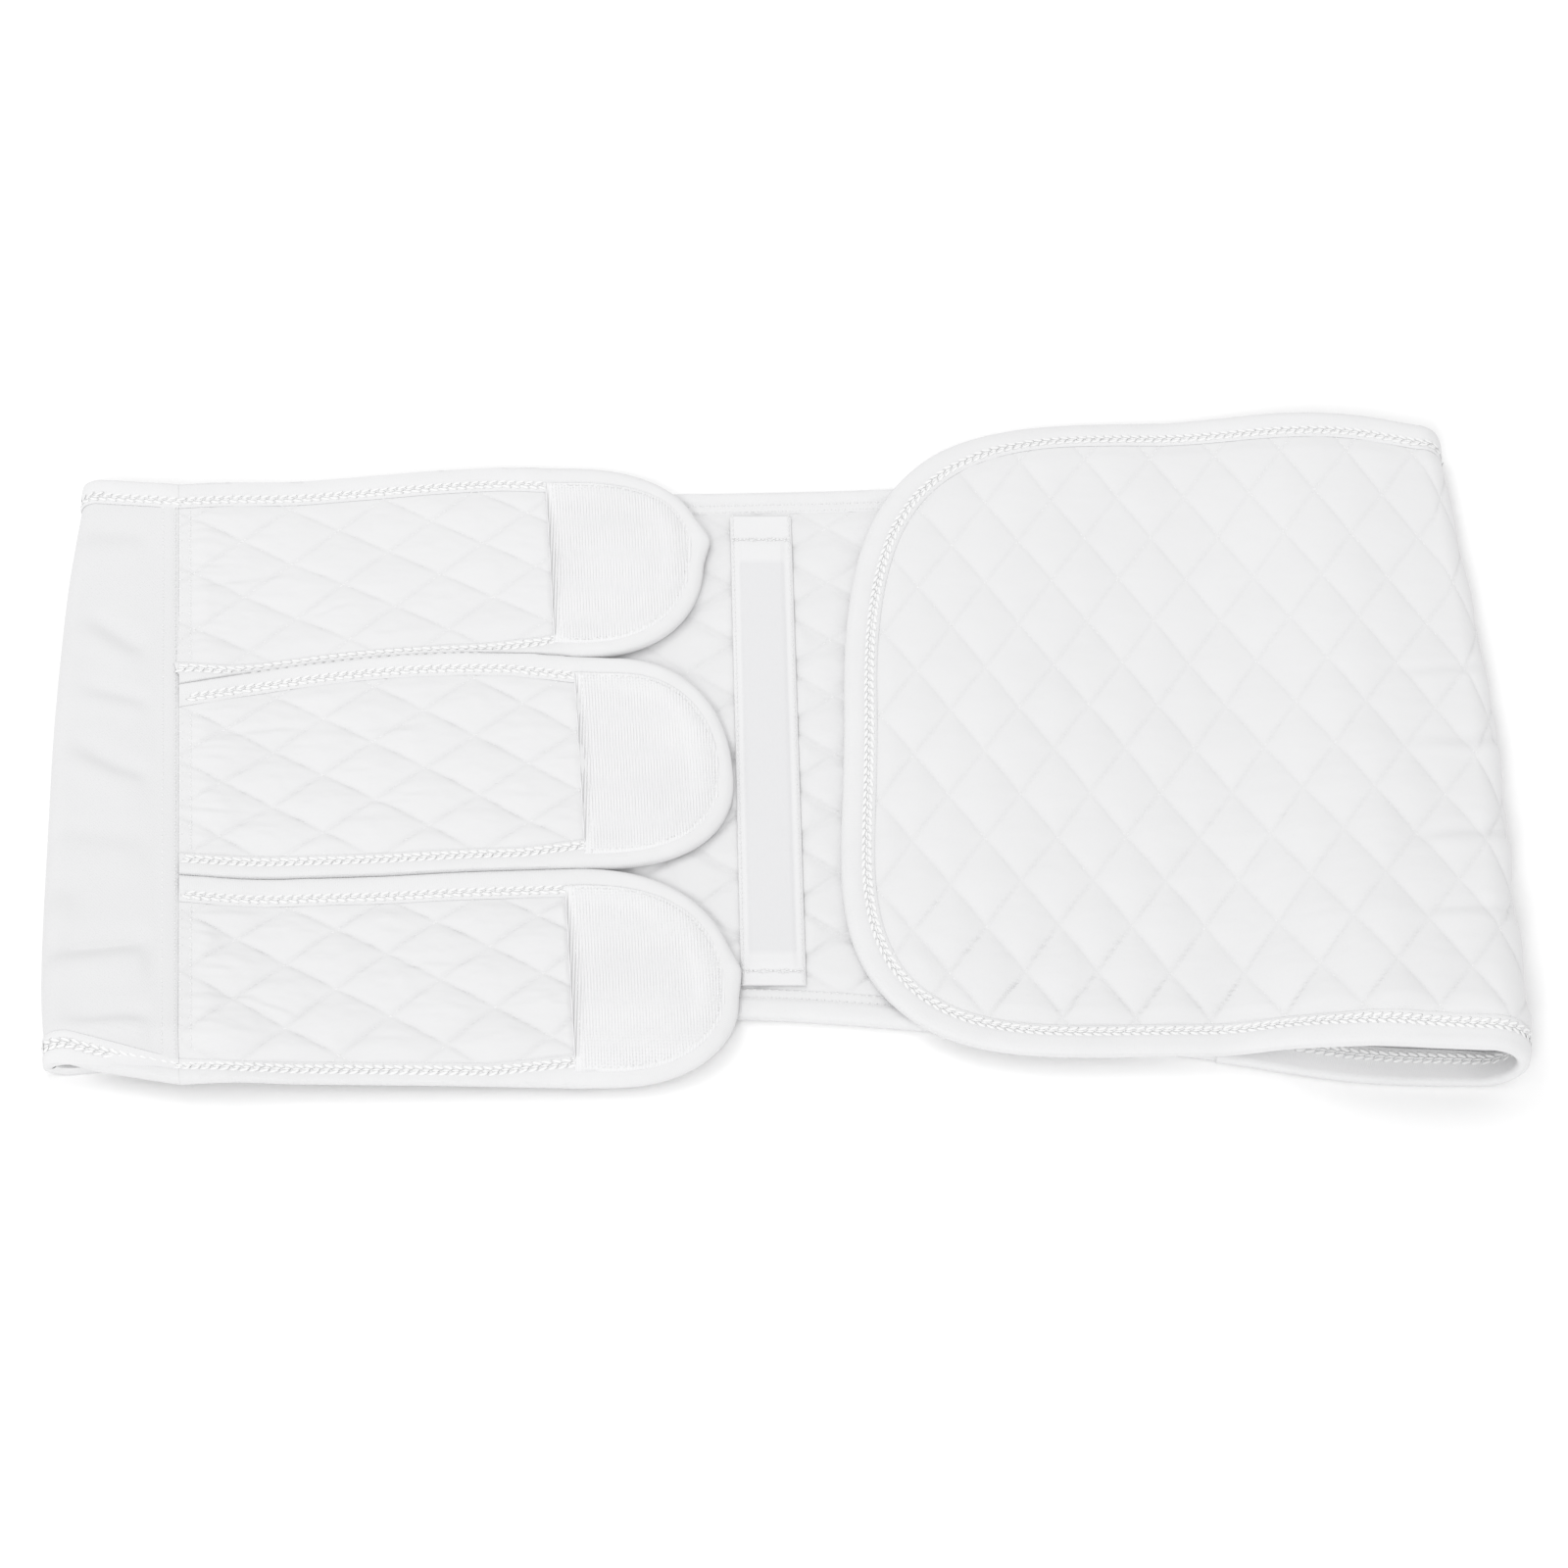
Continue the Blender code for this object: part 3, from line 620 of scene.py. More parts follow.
def rounded_end(near_end, tip, far_end, steps, roundness):
    turn = np.linspace(-pi / 2, pi / 2, 1201)
    base_a = np.where(turn < 0, near_end[0], far_end[0])
    base_y = np.where(turn < 0, near_end[1], far_end[1])
    along = np.abs(np.cos(turn)) ** (2 / roundness)
    across = np.abs(np.sin(turn)) ** (2 / roundness)
    points = np.stack((blend(base_a, tip[0], along), blend(tip[1], base_y, across)), axis=1)
    return even_points(points, steps)[1:-1]


def folded_edge(fold, column, along, upper):
    x = fold.lower_x(np.minimum(along, -fold.quarter), 0.0)
    share = smooth((along / fold.quarter + 1) / 2)
    return blend(lower_edge(column, x), upper, share)


def pairs(first, second):
    return np.stack((first, second), axis=1)


def elastic_cut(rows=96, columns=165):
    sides = []
    first = -LEFT.quarter - ELASTIC_UNDER + LEFT.loop / 2
    for column, table_column in ((1, 4), (2, 1)):
        top = TAB_EDGES[0][table_column] * BODY_HEIGHT
        arc_end = float(lower_edge(column, LEFT.lower_x(-LEFT.quarter, 0.0)))
        lower = np.linspace(first, LEFT.quarter, rows * 2 // 3 + 1)
        upper = np.linspace(LEFT.quarter, seam_along(top), rows // 3 + 1)
        share = np.linspace(0, 1, rows // 3 + 1)
        sides.append(
            np.concatenate(
                (
                    pairs(lower, folded_edge(LEFT, column, lower, arc_end)),
                    pairs(upper, blend(arc_end, top, share))[1:],
                )
            )
        )
    near, far = sides
    across = np.linspace(near[-1, 1], far[-1, 1], columns + 1)[1:-1]
    end = pairs(seam_along(across), across)
    cut = Cut(LEFT.point, -1, near, end, far, rows * 2 // 3, lambda _: first, seam_along)
    cut.tuck("elastic_panel")
    return cut


def tab_cut(tab, rows=141, columns=129):
    name, near_column, far_column, near_round, far_round, reach, tip_across, hook = tab
    sides = []
    hook_row = rows - 9
    for column, start, inward in ((near_column, near_round, 1), (far_column, far_round, -1)):
        places = np.concatenate(
            (
                np.linspace(0, hook * TAB_LENGTH, hook_row + 1),
                np.linspace(hook * TAB_LENGTH, start * TAB_LENGTH, rows - hook_row + 1)[1:],
            )
        )
        slit = TAB_GAP / 2 * inward if column in (2, 3) else 0.0
        across = read(TAB_EDGES, column, places / TAB_LENGTH) * BODY_HEIGHT + slit
        sides.append(pairs(places, across))
    near, far = sides
    tip = (reach * TAB_LENGTH, tip_across * BODY_HEIGHT)
    end = rounded_end(near[-1], tip, far[-1], columns, TAB_ROUNDNESS)
    cut = Cut(tab_point, -1, near, end, far, hook_row, lambda _: 0.0)
    cut.tuck("tab_" + name)
    if name in JOINS:
        along, across, size = JOINS[name]
        away = cut.loop - np.array((along, across))
        distance = np.linalg.norm(away, axis=1)
        outward = cut.loop - np.array((hook * TAB_LENGTH, tip[1]))
        outward /= np.linalg.norm(outward, axis=1)[:, None]
        cut.bump = outward * (size * np.clip(1 - distance / 0.011, 0, 1) ** 1.3)[:, None]
        cut.join = int(np.argmin(distance))
    return cut


def front_cut(rows=219, columns=300):
    def edge(column, along):
        return read(FRONT_EDGES, column, along / FRONT_REACH) * BODY_HEIGHT

    sides = []
    first = -RIGHT.quarter - FRONT_UNDER + RIGHT.loop / 2
    under = rows * 9 // 20
    for column, start in ((1, FRONT_NEAR_ROUND), (2, FRONT_FAR_ROUND)):
        top = float(edge(column, RIGHT.quarter))
        across = float(edge(column, start * FRONT_REACH))
        last = float(RIGHT.along_at(LENGTH - start * FRONT_REACH, across))
        lower = np.linspace(first, RIGHT.quarter, under + 1)
        upper = np.linspace(RIGHT.quarter, last, rows - under + 1)
        sides.append(
            np.concatenate(
                (
                    pairs(lower, folded_edge(RIGHT, column, lower, top)),
                    pairs(upper, edge(column, upper))[1:],
                )
            )
        )
    near, far = sides
    tip_across = FRONT_TIP_ACROSS * BODY_HEIGHT
    tip = (float(RIGHT.along_at(FREE_EDGE, tip_across)), tip_across)
    end = rounded_end(near[-1], tip, far[-1], columns, FRONT_ROUNDNESS)
    return Cut(RIGHT.point, 1, near, end, far, under, lambda _: first)


def middle_cut(rows=240, columns=165):
    def left_end(across):
        return LEFT.lower_x(-LEFT.quarter - ELASTIC_UNDER + LEFT.loop / 2, across)

    def right_end(across):
        return RIGHT.lower_x(-RIGHT.quarter - FRONT_UNDER + RIGHT.loop / 2, across)

    sides = []
    for column in (1, 2):
        first = float(lower_edge(column, left_end(0.0)))
        last = float(lower_edge(column, right_end(0.0)))
        x = np.linspace(left_end(first), right_end(last), rows + 1)
        across = lower_edge(column, x)
        across[0], across[-1] = first, last
        sides.append(pairs(x, across))
    near, far = sides
    across = np.linspace(near[-1, 1], far[-1, 1], columns + 1)[1:-1]
    end = pairs(right_end(across), across)
    cut = Cut(middle_point, 1, near, end, far, 0, left_end, right_end)
    cut.tuck("back_panel")
    return cut


class Quilt:
    """A lattice of stitched diamonds on a plan."""

    def __init__(self, name, to_plan, from_plan, seed):
        rows = [np.array(pair) / 1000 for pair in QUILTS[name]]
        self.origin = rows[0]
        self.basis = np.stack(rows[1:3], axis=1)
        self.inverse = np.linalg.inv(self.basis)
        self.bend = np.stack(rows[3:])
        self.reach = 8.0 if name == "front_panel" else 3.5
        self.to_plan = to_plan
        self.from_plan = from_plan
        self.seed = seed

    def sway(self, plan):
        x, y = plan[..., 0], plan[..., 1]
        return 0.0006 * np.stack(
            (ripple(x, y, 0.035, self.seed), ripple(x, y, 0.035, self.seed + 1)), axis=-1
        )

    def plan(self, cell):
        near = np.clip(cell, -self.reach, self.reach)
        i, j = near[..., 0], near[..., 1]
        squares = np.stack((i * i, i * j, j * j), axis=-1)
        return self.origin + cell @ self.basis.T + squares @ self.bend

    def cells(self, spots):
        plan = self.to_plan(spots)
        plan = plan - self.sway(plan)
        cell = (plan - self.origin) @ self.inverse.T
        for _ in range(4):
            cell = cell + (plan - self.plan(cell)) @ self.inverse.T
        return cell

    def lines(self, cut, clear):
        """Runs of spots along the stitched lines that keep clear of the outline."""
        cells = self.cells(cut.loop)
        low, high = np.floor(cells.min(axis=0)), np.ceil(cells.max(axis=0))
        found = []
        for axis in (0, 1):
            other = np.arange(low[1 - axis], high[1 - axis], 0.04)
            for k in np.arange(low[axis], high[axis] + 1):
                cell = np.empty((len(other), 2))
                cell[:, axis], cell[:, 1 - axis] = k, other
                plan = self.plan(cell)
                spots = self.from_plan(plan + self.sway(plan))
                inside = cut.holds(spots) & (cut.inset_of(spots) > clear)
                found += runs(spots, inside)
        return found


def runs(spots, keep):
    """Split a line where keep is false."""
    steps = np.flatnonzero(np.diff(np.concatenate(([0], keep.astype(int), [0]))))
    return [spots[a:b] for a, b in zip(steps[::2], steps[1::2]) if b - a > 3]


def pillow(cells):
    """0 on the stitched lines, 1 in the middle of a diamond."""
    part = cells - np.floor(cells)
    return (np.sin(pi * part[..., 0]) * np.sin(pi * part[..., 1])) ** PILLOW_SOFTNESS


class Piece:
    """A cut with the height of each of its faces over the middle of the cloth."""

    def __init__(
        self, cut, quilt=None, shown=1, relief=None, calm=None, wrinkle=1.0, puff=1.0, ceiling=None
    ):
        self.cut = cut
        self.ceiling = ceiling
        self.quilt = quilt
        self.shown = shown
        self.relief = relief
        self.calm = calm
        self.wrinkle = wrinkle
        self.puff = puff

    def open_share(self, spots):
        """0 where the shown face lies on the floor, under a fold, and 1 where it is on top."""
        if not hasattr(self.cut.surface, "__self__"):
            return 1.0
        return smooth(spots[..., 0] / self.cut.surface.__self__.quarter * 0.5 + 0.5)

    def height(self, spots, face, inset=None):
        if inset is None:
            inset = self.cut.inset_of(spots)
        if self.quilt is None:
            base = EDGE + 0 * inset
            extra = self.relief(spots, inset) if self.relief and face == self.shown else 0.0
            return base + extra * self.open_share(spots)
        tuning = settings().quilt
        open_part = RIM_SHARE + (1 - RIM_SHARE) * smooth((inset - TAPE_DEPTH) / RIM_REACH)
        open_part = open_part * smooth((inset - TAPE_DEPTH + RIM_START) / RIM_STEP)
        if self.calm:
            open_part = open_part * self.calm(spots)
        puff = pillow(self.quilt.cells(spots))
        low, high = EDGE + 0.0002, PAD - 0.0001
        if face == self.shown:
            x, y = spots[..., 0], spots[..., 1]
            seed = settings().seed
            wrinkle = ripple(x, y * 2.2, 0.0075, seed) + 0.6 * ripple(x, y * 2, 0.0035, seed + 1)
            full = FULL_FAR + FULL_NEAR * smooth(0.5 - y / BODY_HEIGHT)
            swell = 1 + 0.18 * ripple(x, y, 0.022, seed + 2)
            high = low + self.puff * full * tuning.puff * swell
            rough = self.wrinkle * full * tuning.wrinkle * wrinkle * (0.25 + 0.75 * puff)
            body = low + (high - low) * puff + rough
            body = EDGE + (body - EDGE) * open_part
            if self.relief:
                body = body + self.relief(spots, inset)
            top = PAD - 0.0001
            if self.ceiling:
                top = self.ceiling(spots)
            else:
                top = top + RISE_LIMIT * self.open_share(spots)
            return np.minimum(body, top)
        return EDGE + (low + (high - low) * puff - EDGE) * open_part


def mesh_object(name, points, faces, material, uv=None):
    mesh = bpy.data.meshes.new(name)
    mesh.from_pydata(np.asarray(points).tolist(), [], [tuple(face) for face in faces])
    if uv is not None:
        layer = mesh.uv_layers.new(name="flat")
        corner = np.empty(len(mesh.loops), int)
        mesh.loops.foreach_get("vertex_index", corner)
        layer.data.foreach_set("uv", np.asarray(uv, np.float32)[corner].ravel())
    mesh.shade_smooth()
    mesh.set_sharp_from_angle(angle=radians(62))
    item = bpy.data.objects.new(name, mesh)
    bpy.context.scene.collection.objects.link(item)
    mesh.materials.append(material)
    return item


def turn_out(item):
    bm = bmesh.new()
    bm.from_mesh(item.data)
    bmesh.ops.recalc_face_normals(bm, faces=bm.faces)
    bm.to_mesh(item.data)
    bm.free()
    item.data.update()
    return item


def grid_faces(index):
    """Faces between the stations of a grid of vertex numbers."""
    quads = np.stack((index[:-1, :-1], index[1:, :-1], index[1:, 1:], index[:-1, 1:]), axis=-1)
    return quads.reshape(-1, 4).tolist()


def panel(name, piece, material, inset, seam_inset=SEAM, thin=3):
    """The fine shown face, a thinner-set hidden face, and a rim between them."""
    cut = piece.cut
    ring = cut.ring(inset, seam_inset)
    spots = cut.grid(ring)
    depth = cut.inset_of(spots)
    shown = cut.place(spots, piece.height(spots, piece.shown, depth) * piece.shown)
    coarse = spots[::thin, ::thin]
    hidden_height = piece.height(coarse, -piece.shown, depth[::thin, ::thin])
    hidden = cut.place(coarse, -hidden_height * piece.shown)
    rows, columns = spots.shape[:2]
    low_rows, low_columns = coarse.shape[:2]
    base = rows * columns
    index = np.arange(base).reshape(rows, columns)
    low_index = np.arange(low_rows * low_columns).reshape(low_rows, low_columns) + base
    faces = grid_faces(index) + grid_faces(low_index)
    for side in (np.s_[0], np.s_[-1], np.s_[:, 0], np.s_[:, -1]):
        line, rough_line = index[side], low_index[side]
        for k in range(len(rough_line) - 1):
            strip = line[k * thin : k * thin + thin + 1].tolist()
            faces.append([int(rough_line[k]), *strip, int(rough_line[k + 1])])
    points = np.concatenate((shown.reshape(-1, 3), hidden.reshape(-1, 3)))
    flat = piece.quilt.cells(spots) if piece.quilt else spots * 1000 / 25
    low_flat = piece.quilt.cells(coarse) if piece.quilt else coarse * 1000 / 25
    uv = np.concatenate((flat.reshape(-1, 2), low_flat.reshape(-1, 2)))
    return turn_out(mesh_object(name, points, faces, material, uv))


def tape_section(fullness):
    """Inset and height round the folded tape, from the inner edge of the shown face."""
    top, low = PAD - 0.0002, EDGE + GAP
    band = top - 0.0004
    shown = [
        (TAPE_DEPTH - 0.0001, EDGE + 0.0001),
        (TAPE_DEPTH, band - 0.0005),
        (TAPE_DEPTH - 0.0004, band - 0.0001),
        (TAPE_DEPTH - 0.0014, band),
        (0.0090, band - 0.0001),
        (0.0078, band - 0.0001),
        (0.0070, top),
        (0.0060, top + fullness * 0.5),
        (0.0045, top + fullness * 0.9),
        (0.0030, top + fullness * 0.85),
        (0.0018, top + fullness * 0.3),
        (0.0008, top - 0.0006),
        (0.0001, 0.0008),
    ]
    hidden = [
        (0.0001, -0.0008),
        (0.0009, 0.0004 - PAD),
        (0.0022, -PAD),
        (0.0060, -PAD),
        (0.0100, -PAD),
        (TAPE_DEPTH - 0.0003, -PAD),
        (TAPE_DEPTH, -PAD + 0.0004),
        (TAPE_DEPTH, -low),
        (0.0040, -low),
        (TAPE, -low + 0.0002),
        (TAPE, low - 0.0002),
        (0.0040, low),
        (TAPE_DEPTH - 0.0004, low - GAP),
    ]
    return shown + hidden


def tape(name, piece, first, last, material, section, pucker=0.00008):
    """Sweep the folded tape round part of the outline."""
    cut = piece.cut
    count = len(cut.loop)
    steps = np.arange(first, last + 1) % count
    along = np.concatenate(
        ([0], np.cumsum(np.linalg.norm(np.diff(cut.loop[steps], axis=0), axis=1)))
    )
    seed = settings().seed
    columns = []
    for place, (inset, height) in enumerate(section):
        ring = cut.ring(inset, SEAM)[steps]
        size = height * piece.shown
        if abs(height) > EDGE + GAP and inset < 0.0072:
            wave = ripple(along, 0 * along + inset * 40, 0.0045, seed + 5)
            size = size * (1 + 0.05 * wave)
        elif 0.0072 < inset < TAPE_DEPTH and place < 7:
            size = size + pucker * piece.shown * np.sin(along / 0.0024 * tau)
        if cut.join and place < len(section) // 2:
            past = along - along[cut.join - first]
            size = size + 0.0005 * piece.shown * np.where(past > 0, np.exp(-past / 0.008), 0)
        share = piece.open_share(ring)
        size = size * share + np.clip(size, -PAD, PAD) * (1 - share)
        columns.append(cut.place(ring, 0 * along + size))
    points = np.stack(columns, axis=1)
    rows, size = points.shape[:2]
    index = np.arange(rows * size).reshape(rows, size)
    after = np.roll(index, -1, axis=1)
    quads = np.stack((index[:-1], index[1:], after[1:], after[:-1]), axis=-1)
    faces = quads.reshape(-1, 4).tolist()
    faces += [index[0].tolist(), index[-1].tolist()]
    across = np.array([inset for inset, _ in section])
    uv = np.stack(
        (np.repeat(along[:, None], size, axis=1) * 1000, np.repeat(across[None], rows, 0) * 1000),
        axis=-1,
    ).reshape(-1, 2)
    return turn_out(mesh_object(name, points.reshape(-1, 3), faces, material, uv))


class Socket:
    """An output socket that Python's operators turn into Math nodes."""

    def __init__(self, graph, socket):
        self.graph = graph
        self.socket = socket

    def math(self, operation, *values):
        kind = "ShaderNodeMath"
        return self.graph.add(kind, {"operation": operation}, dict(enumerate(values)))

    def __add__(self, other):
        return self.math("ADD", self, other)

    def __radd__(self, other):
        return self.math("ADD", other, self)

    def __sub__(self, other):
        return self.math("SUBTRACT", self, other)

    def __rsub__(self, other):
        return self.math("SUBTRACT", other, self)

    def __mul__(self, other):
        return self.math("MULTIPLY", self, other)

    def __rmul__(self, other):
        return self.math("MULTIPLY", other, self)

    def __truediv__(self, other):
        return self.math("DIVIDE", self, other)

    def __pow__(self, other):
        return self.math("POWER", self, other)

    def sin(self):
        return self.math("SINE", self)

    def abs(self):
        return self.math("ABSOLUTE", self)

    def fract(self):
        return self.math("FRACT", self)

    def low(self, other):
        return self.math("MINIMUM", self, other)

    def high(self, other):
        return self.math("MAXIMUM", self, other)


class Graph:
    """Adds nodes to a tree: a type, its settings, then the values or links of its sockets."""

    def __init__(self, tree):
        self.tree = tree

    def add(self, kind, setup=None, values=None, output=0):
        node = self.tree.nodes.new(kind)
        for key, value in (setup or {}).items():
            if key == "stops":
                ramp = node.color_ramp
                for place, (position, colour) in enumerate(value):
                    while len(ramp.elements) <= place:
                        ramp.elements.new(1.0)
                    ramp.elements[place].position = position
                    ramp.elements[place].color = colour
            else:
                setattr(node, key, value)
        for key, value in (values or {}).items():
            socket = node.inputs[key]
            if isinstance(value, Socket):
                self.tree.links.new(value.socket, socket)
            else:
                socket.default_value = value
        return Socket(self, node.outputs[output]) if len(node.outputs) else node


def cloth_material(name, colour, roughness, detail):
    """A Principled material; detail adds its colour variation and returns a height in metres."""
    material = bpy.data.materials.new(name)
    material.use_nodes = True
    tree = material.node_tree
    tree.nodes.clear()
    graph = Graph(tree)
    place = graph.add("ShaderNodeTexCoord", output=3)
    height, shade = detail(graph, place)
    tint = graph.add(
        "ShaderNodeMix",
        {"data_type": "RGBA", "blend_type": "MULTIPLY"},
        {0: 1.0, 6: (*colour, 1.0), 7: shade},
        output=2,
    )
    bump = graph.add("ShaderNodeBump", {}, {"Strength": 1.0, "Distance": 1.0, "Height": height})
    shader = graph.add(
        "ShaderNodeBsdfPrincipled",
        {},
        {"Base Color": tint, "Roughness": roughness, "Normal": bump},
    )
    shader.socket.node.inputs["Specular IOR Level"].default_value = 0.12
    shader.socket.node.inputs["Sheen Weight"].default_value = 0.15
    shader.socket.node.inputs["Sheen Roughness"].default_value = 0.5
    graph.add("ShaderNodeOutputMaterial", {}, {"Surface": shader})
    return material


def noise(graph, place, scale, detail=2.0):
    return graph.add("ShaderNodeTexNoise", {}, {"Vector": place, "Scale": scale, "Detail": detail})


def split(graph, vector):
    node = graph.add("ShaderNodeSeparateXYZ", {}, {0: vector}).socket.node
    return [Socket(graph, output) for output in node.outputs]


def flat_place(graph):
    return split(graph, graph.add("ShaderNodeUVMap", {"uv_map": "flat"}))


def shade_ramp(graph, value, first, dark, last):
    """From a dark share of the colour at the first value to the whole of it at the last."""
    stops = ((first, (*dark, 1)), (last, (1, 1, 1, 1)))
    return graph.add("ShaderNodeValToRGB", {"stops": stops}, {"Fac": value})


def quilt_detail(graph, place):
    """Fine woven cotton, small soft wrinkles and the crease at each stitched line, with painted shade.
    """
    u, v, _ = flat_place(graph)
    x, y, _ = split(graph, place)
    weave = (x * (tau / 0.00062)).sin() * (y * (tau / 0.00062)).sin()
    fine = noise(graph, place, 900.0, 3.0)
    soft = noise(graph, place, 130.0, 2.0)
    near_u = 0.5 - ((u.fract() - 0.5).abs())
    near_v = 0.5 - ((v.fract() - 0.5).abs())
    crease_and_shade = (near_u.low(near_v) * 16.0).low(1.0)
    height = weave * 0.000012 + fine * 0.00003 + soft * 0.00012 + crease_and_shade * 0.00014
    tone = noise(graph, place, 45.0, 3.0)
    # Painted shade: the crease mask darkens the cotton's colour along each stitched line.
    patches = tone * 0.7 + crease_and_shade * 0.3
    return height, shade_ramp(graph, patches, 0.3, (0.975, 0.975, 0.975), 0.7)


def knit_detail(graph, place):
    """Knitted elastic with a fine diagonal grain."""
    x, y, _ = split(graph, place)
    ribs = ((x + y * 0.9) * (tau / 0.0013)).sin() * 0.5 + 0.5
    cross = ((x * 1.1 - y) * (tau / 0.0011)).sin() * 0.5 + 0.5
    fine = noise(graph, place, 1100.0, 2.0)
    height = ribs * cross * 0.00005 + fine * 0.00003 + noise(graph, place, 90.0) * 0.0001
    patches = noise(graph, place, 35.0, 3.0) * 0.8 + ribs * cross * 0.2
    return height, shade_ramp(graph, patches, 0.2, (0.97, 0.97, 0.97), 0.8)


def tape_detail(graph, place):
    """Ribbed knit tape; the ribs run across it."""
    u, _, _ = flat_place(graph)
    ribs = (u * (tau / 0.75)).sin()
    fine = noise(graph, place, 1000.0, 2.0)
    soft = noise(graph, place, 220.0, 2.0)
    height = ribs * 0.000015 + fine * 0.00003 + soft * 0.00009
    patches = noise(graph, place, 60.0, 3.0)
    return height, shade_ramp(graph, patches, 0.3, (0.98, 0.98, 0.98), 0.7)


def casing_detail(graph, place):
    """Close woven cotton tape, greyer where it is stretched over the stay."""
    u, v, _ = flat_place(graph)
    core = ((1.0 - u.abs()) * 9.0 + 0.5).low(1.0).high(0.0)
    core = core * ((v - 0.055) * 60.0).low(1.0).high(0.0)
    core = core * ((0.905 - v) * 60.0).low(1.0).high(0.0)
    x, y, _ = split(graph, place)
    weave = ((x + y) * (tau / 0.0009)).sin() * ((x - y) * (tau / 0.0009)).sin()
    height = weave * 0.00002 + noise(graph, place, 900.0) * 0.00004
    height = height + noise(graph, place, 80.0) * 0.0002
    patches = (1.0 - core) * 0.85 + noise(graph, place, 50.0, 3.0) * 0.15
    return height, shade_ramp(graph, patches, 0.2, (0.940, 0.940, 0.945), 0.8)


def hook_detail(graph, place):
    """Woven ground of the hook tape, ribbed between the rows of hooks."""
    x, _, _ = split(graph, place)
    ribs = (x * (tau / 0.00108)).sin()
    height = ribs * 0.00006 + noise(graph, place, 1200.0) * 0.00006
    patches = noise(graph, place, 70.0, 3.0) * 0.7 + ribs * 0.15 + 0.15
    return height, shade_ramp(graph, patches, 0.2, (0.965, 0.965, 0.97), 0.8)


def thread_detail(graph, place):
    """Spun thread."""
    x, y, z = split(graph, place)
    twist = ((x + y + z) * (tau / 0.0005)).sin()
    height = twist * 0.000015
    patches = twist * 0.5 + 0.5
    return height, shade_ramp(graph, patches, 0.0, (0.97, 0.97, 0.97), 1.0)


def cloth(kind):
    """The material of a kind of cloth, made once."""
    group = settings()
    kinds = {
        "quilted_cotton": (group.quilt.colour, 0.92, quilt_detail),
        "knitted_elastic": (group.elastic.colour, 0.88, knit_detail),
        "binding_tape": (group.tape.colour, 0.85, tape_detail),
        "hook_tape": (group.hook.colour, 0.8, hook_detail),
        "casing_cotton": (group.casing.colour, 0.85, casing_detail),
        "sewing_thread": (group.stitch.colour, 0.75, thread_detail),
    }
    name = "finish_" + kind
    found = bpy.data.materials.get(name)
    return found if found else cloth_material(name, *kinds[kind])


def tree_with(name, inputs):
    """A geometry tree with a Geometry input and output and the named inputs."""
    tree = bpy.data.node_groups.new(name, "GeometryNodeTree")
    face = tree.interface
    face.new_socket("Geometry", in_out="INPUT", socket_type="NodeSocketGeometry")
    for label, kind in inputs:
        face.new_socket(label, in_out="INPUT", socket_type=kind)
    face.new_socket("Geometry", in_out="OUTPUT", socket_type="NodeSocketGeometry")
    graph = Graph(tree)
    source = tree.nodes.new("NodeGroupInput")
    found = {output.name: Socket(graph, output) for output in source.outputs if output.name}
    return tree, graph, found


def close_tree(graph, points, instance, rotation, material):
    """Put the instance on each point, make it real, give it its material and end the tree."""
    values = {"Points": points, "Instance": instance, "Rotation": rotation}
    instances = graph.add("GeometryNodeInstanceOnPoints", {}, values)
    real = graph.add("GeometryNodeRealizeInstances", {}, {"Geometry": instances})
    shown = graph.add("GeometryNodeSetMaterial", {}, {"Geometry": real, "Material": material})
    sink = graph.tree.nodes.new("NodeGroupOutput")
    graph.tree.links.new(shown.socket, sink.inputs[0])


def facing_of(graph):
    """The direction out of the cloth, kept with each point."""
    return graph.add(
        "GeometryNodeInputNamedAttribute", {"data_type": "FLOAT_VECTOR"}, {"Name": "facing"}
    )


def facing_rotation(graph):
    """A rotation with X along the line and Z out of the cloth."""
    tangent = graph.add("GeometryNodeInputTangent")
    facing = facing_of(graph)
    first = graph.add("FunctionNodeAlignRotationToVector", {"axis": "X"}, {"Vector": tangent})
    return graph.add(
        "FunctionNodeAlignRotationToVector",
        {"axis": "Z", "pivot_axis": "X"},
        {"Rotation": first, "Vector": facing},
    )


def stations(graph, lines, length):
    """Points at one distance along the lines."""
    curve = graph.add("GeometryNodeMeshToCurve", {}, {"Mesh": lines})
    values = {"Curve": curve, "Length": length}
    return graph.add("GeometryNodeResampleCurve", {"mode": "LENGTH"}, values)


def stitch_tree():
    """One bead of thread for each stitch along the lines."""
    inputs = (
        ("Stitch length", "NodeSocketFloat"),
        ("Thread", "NodeSocketFloat"),
        ("Bead share", "NodeSocketFloat"),
        ("Material", "NodeSocketMaterial"),
    )
    tree, graph, given = tree_with("stitch_line", inputs)
    line = stations(graph, given["Geometry"], given["Stitch length"])
    ball = graph.add("GeometryNodeMeshUVSphere", {}, {"Segments": 5, "Rings": 3, "Radius": 0.5})
    size = graph.add(
        "ShaderNodeCombineXYZ",
        {},
        {
            0: given["Stitch length"] * given["Bead share"],
            1: given["Thread"] * 1.3,
            2: given["Thread"],
        },
    )
    bead = graph.add("GeometryNodeTransform", {}, {"Geometry": ball, "Scale": size})
    close_tree(graph, line, bead, facing_rotation(graph), given["Material"])
    return tree


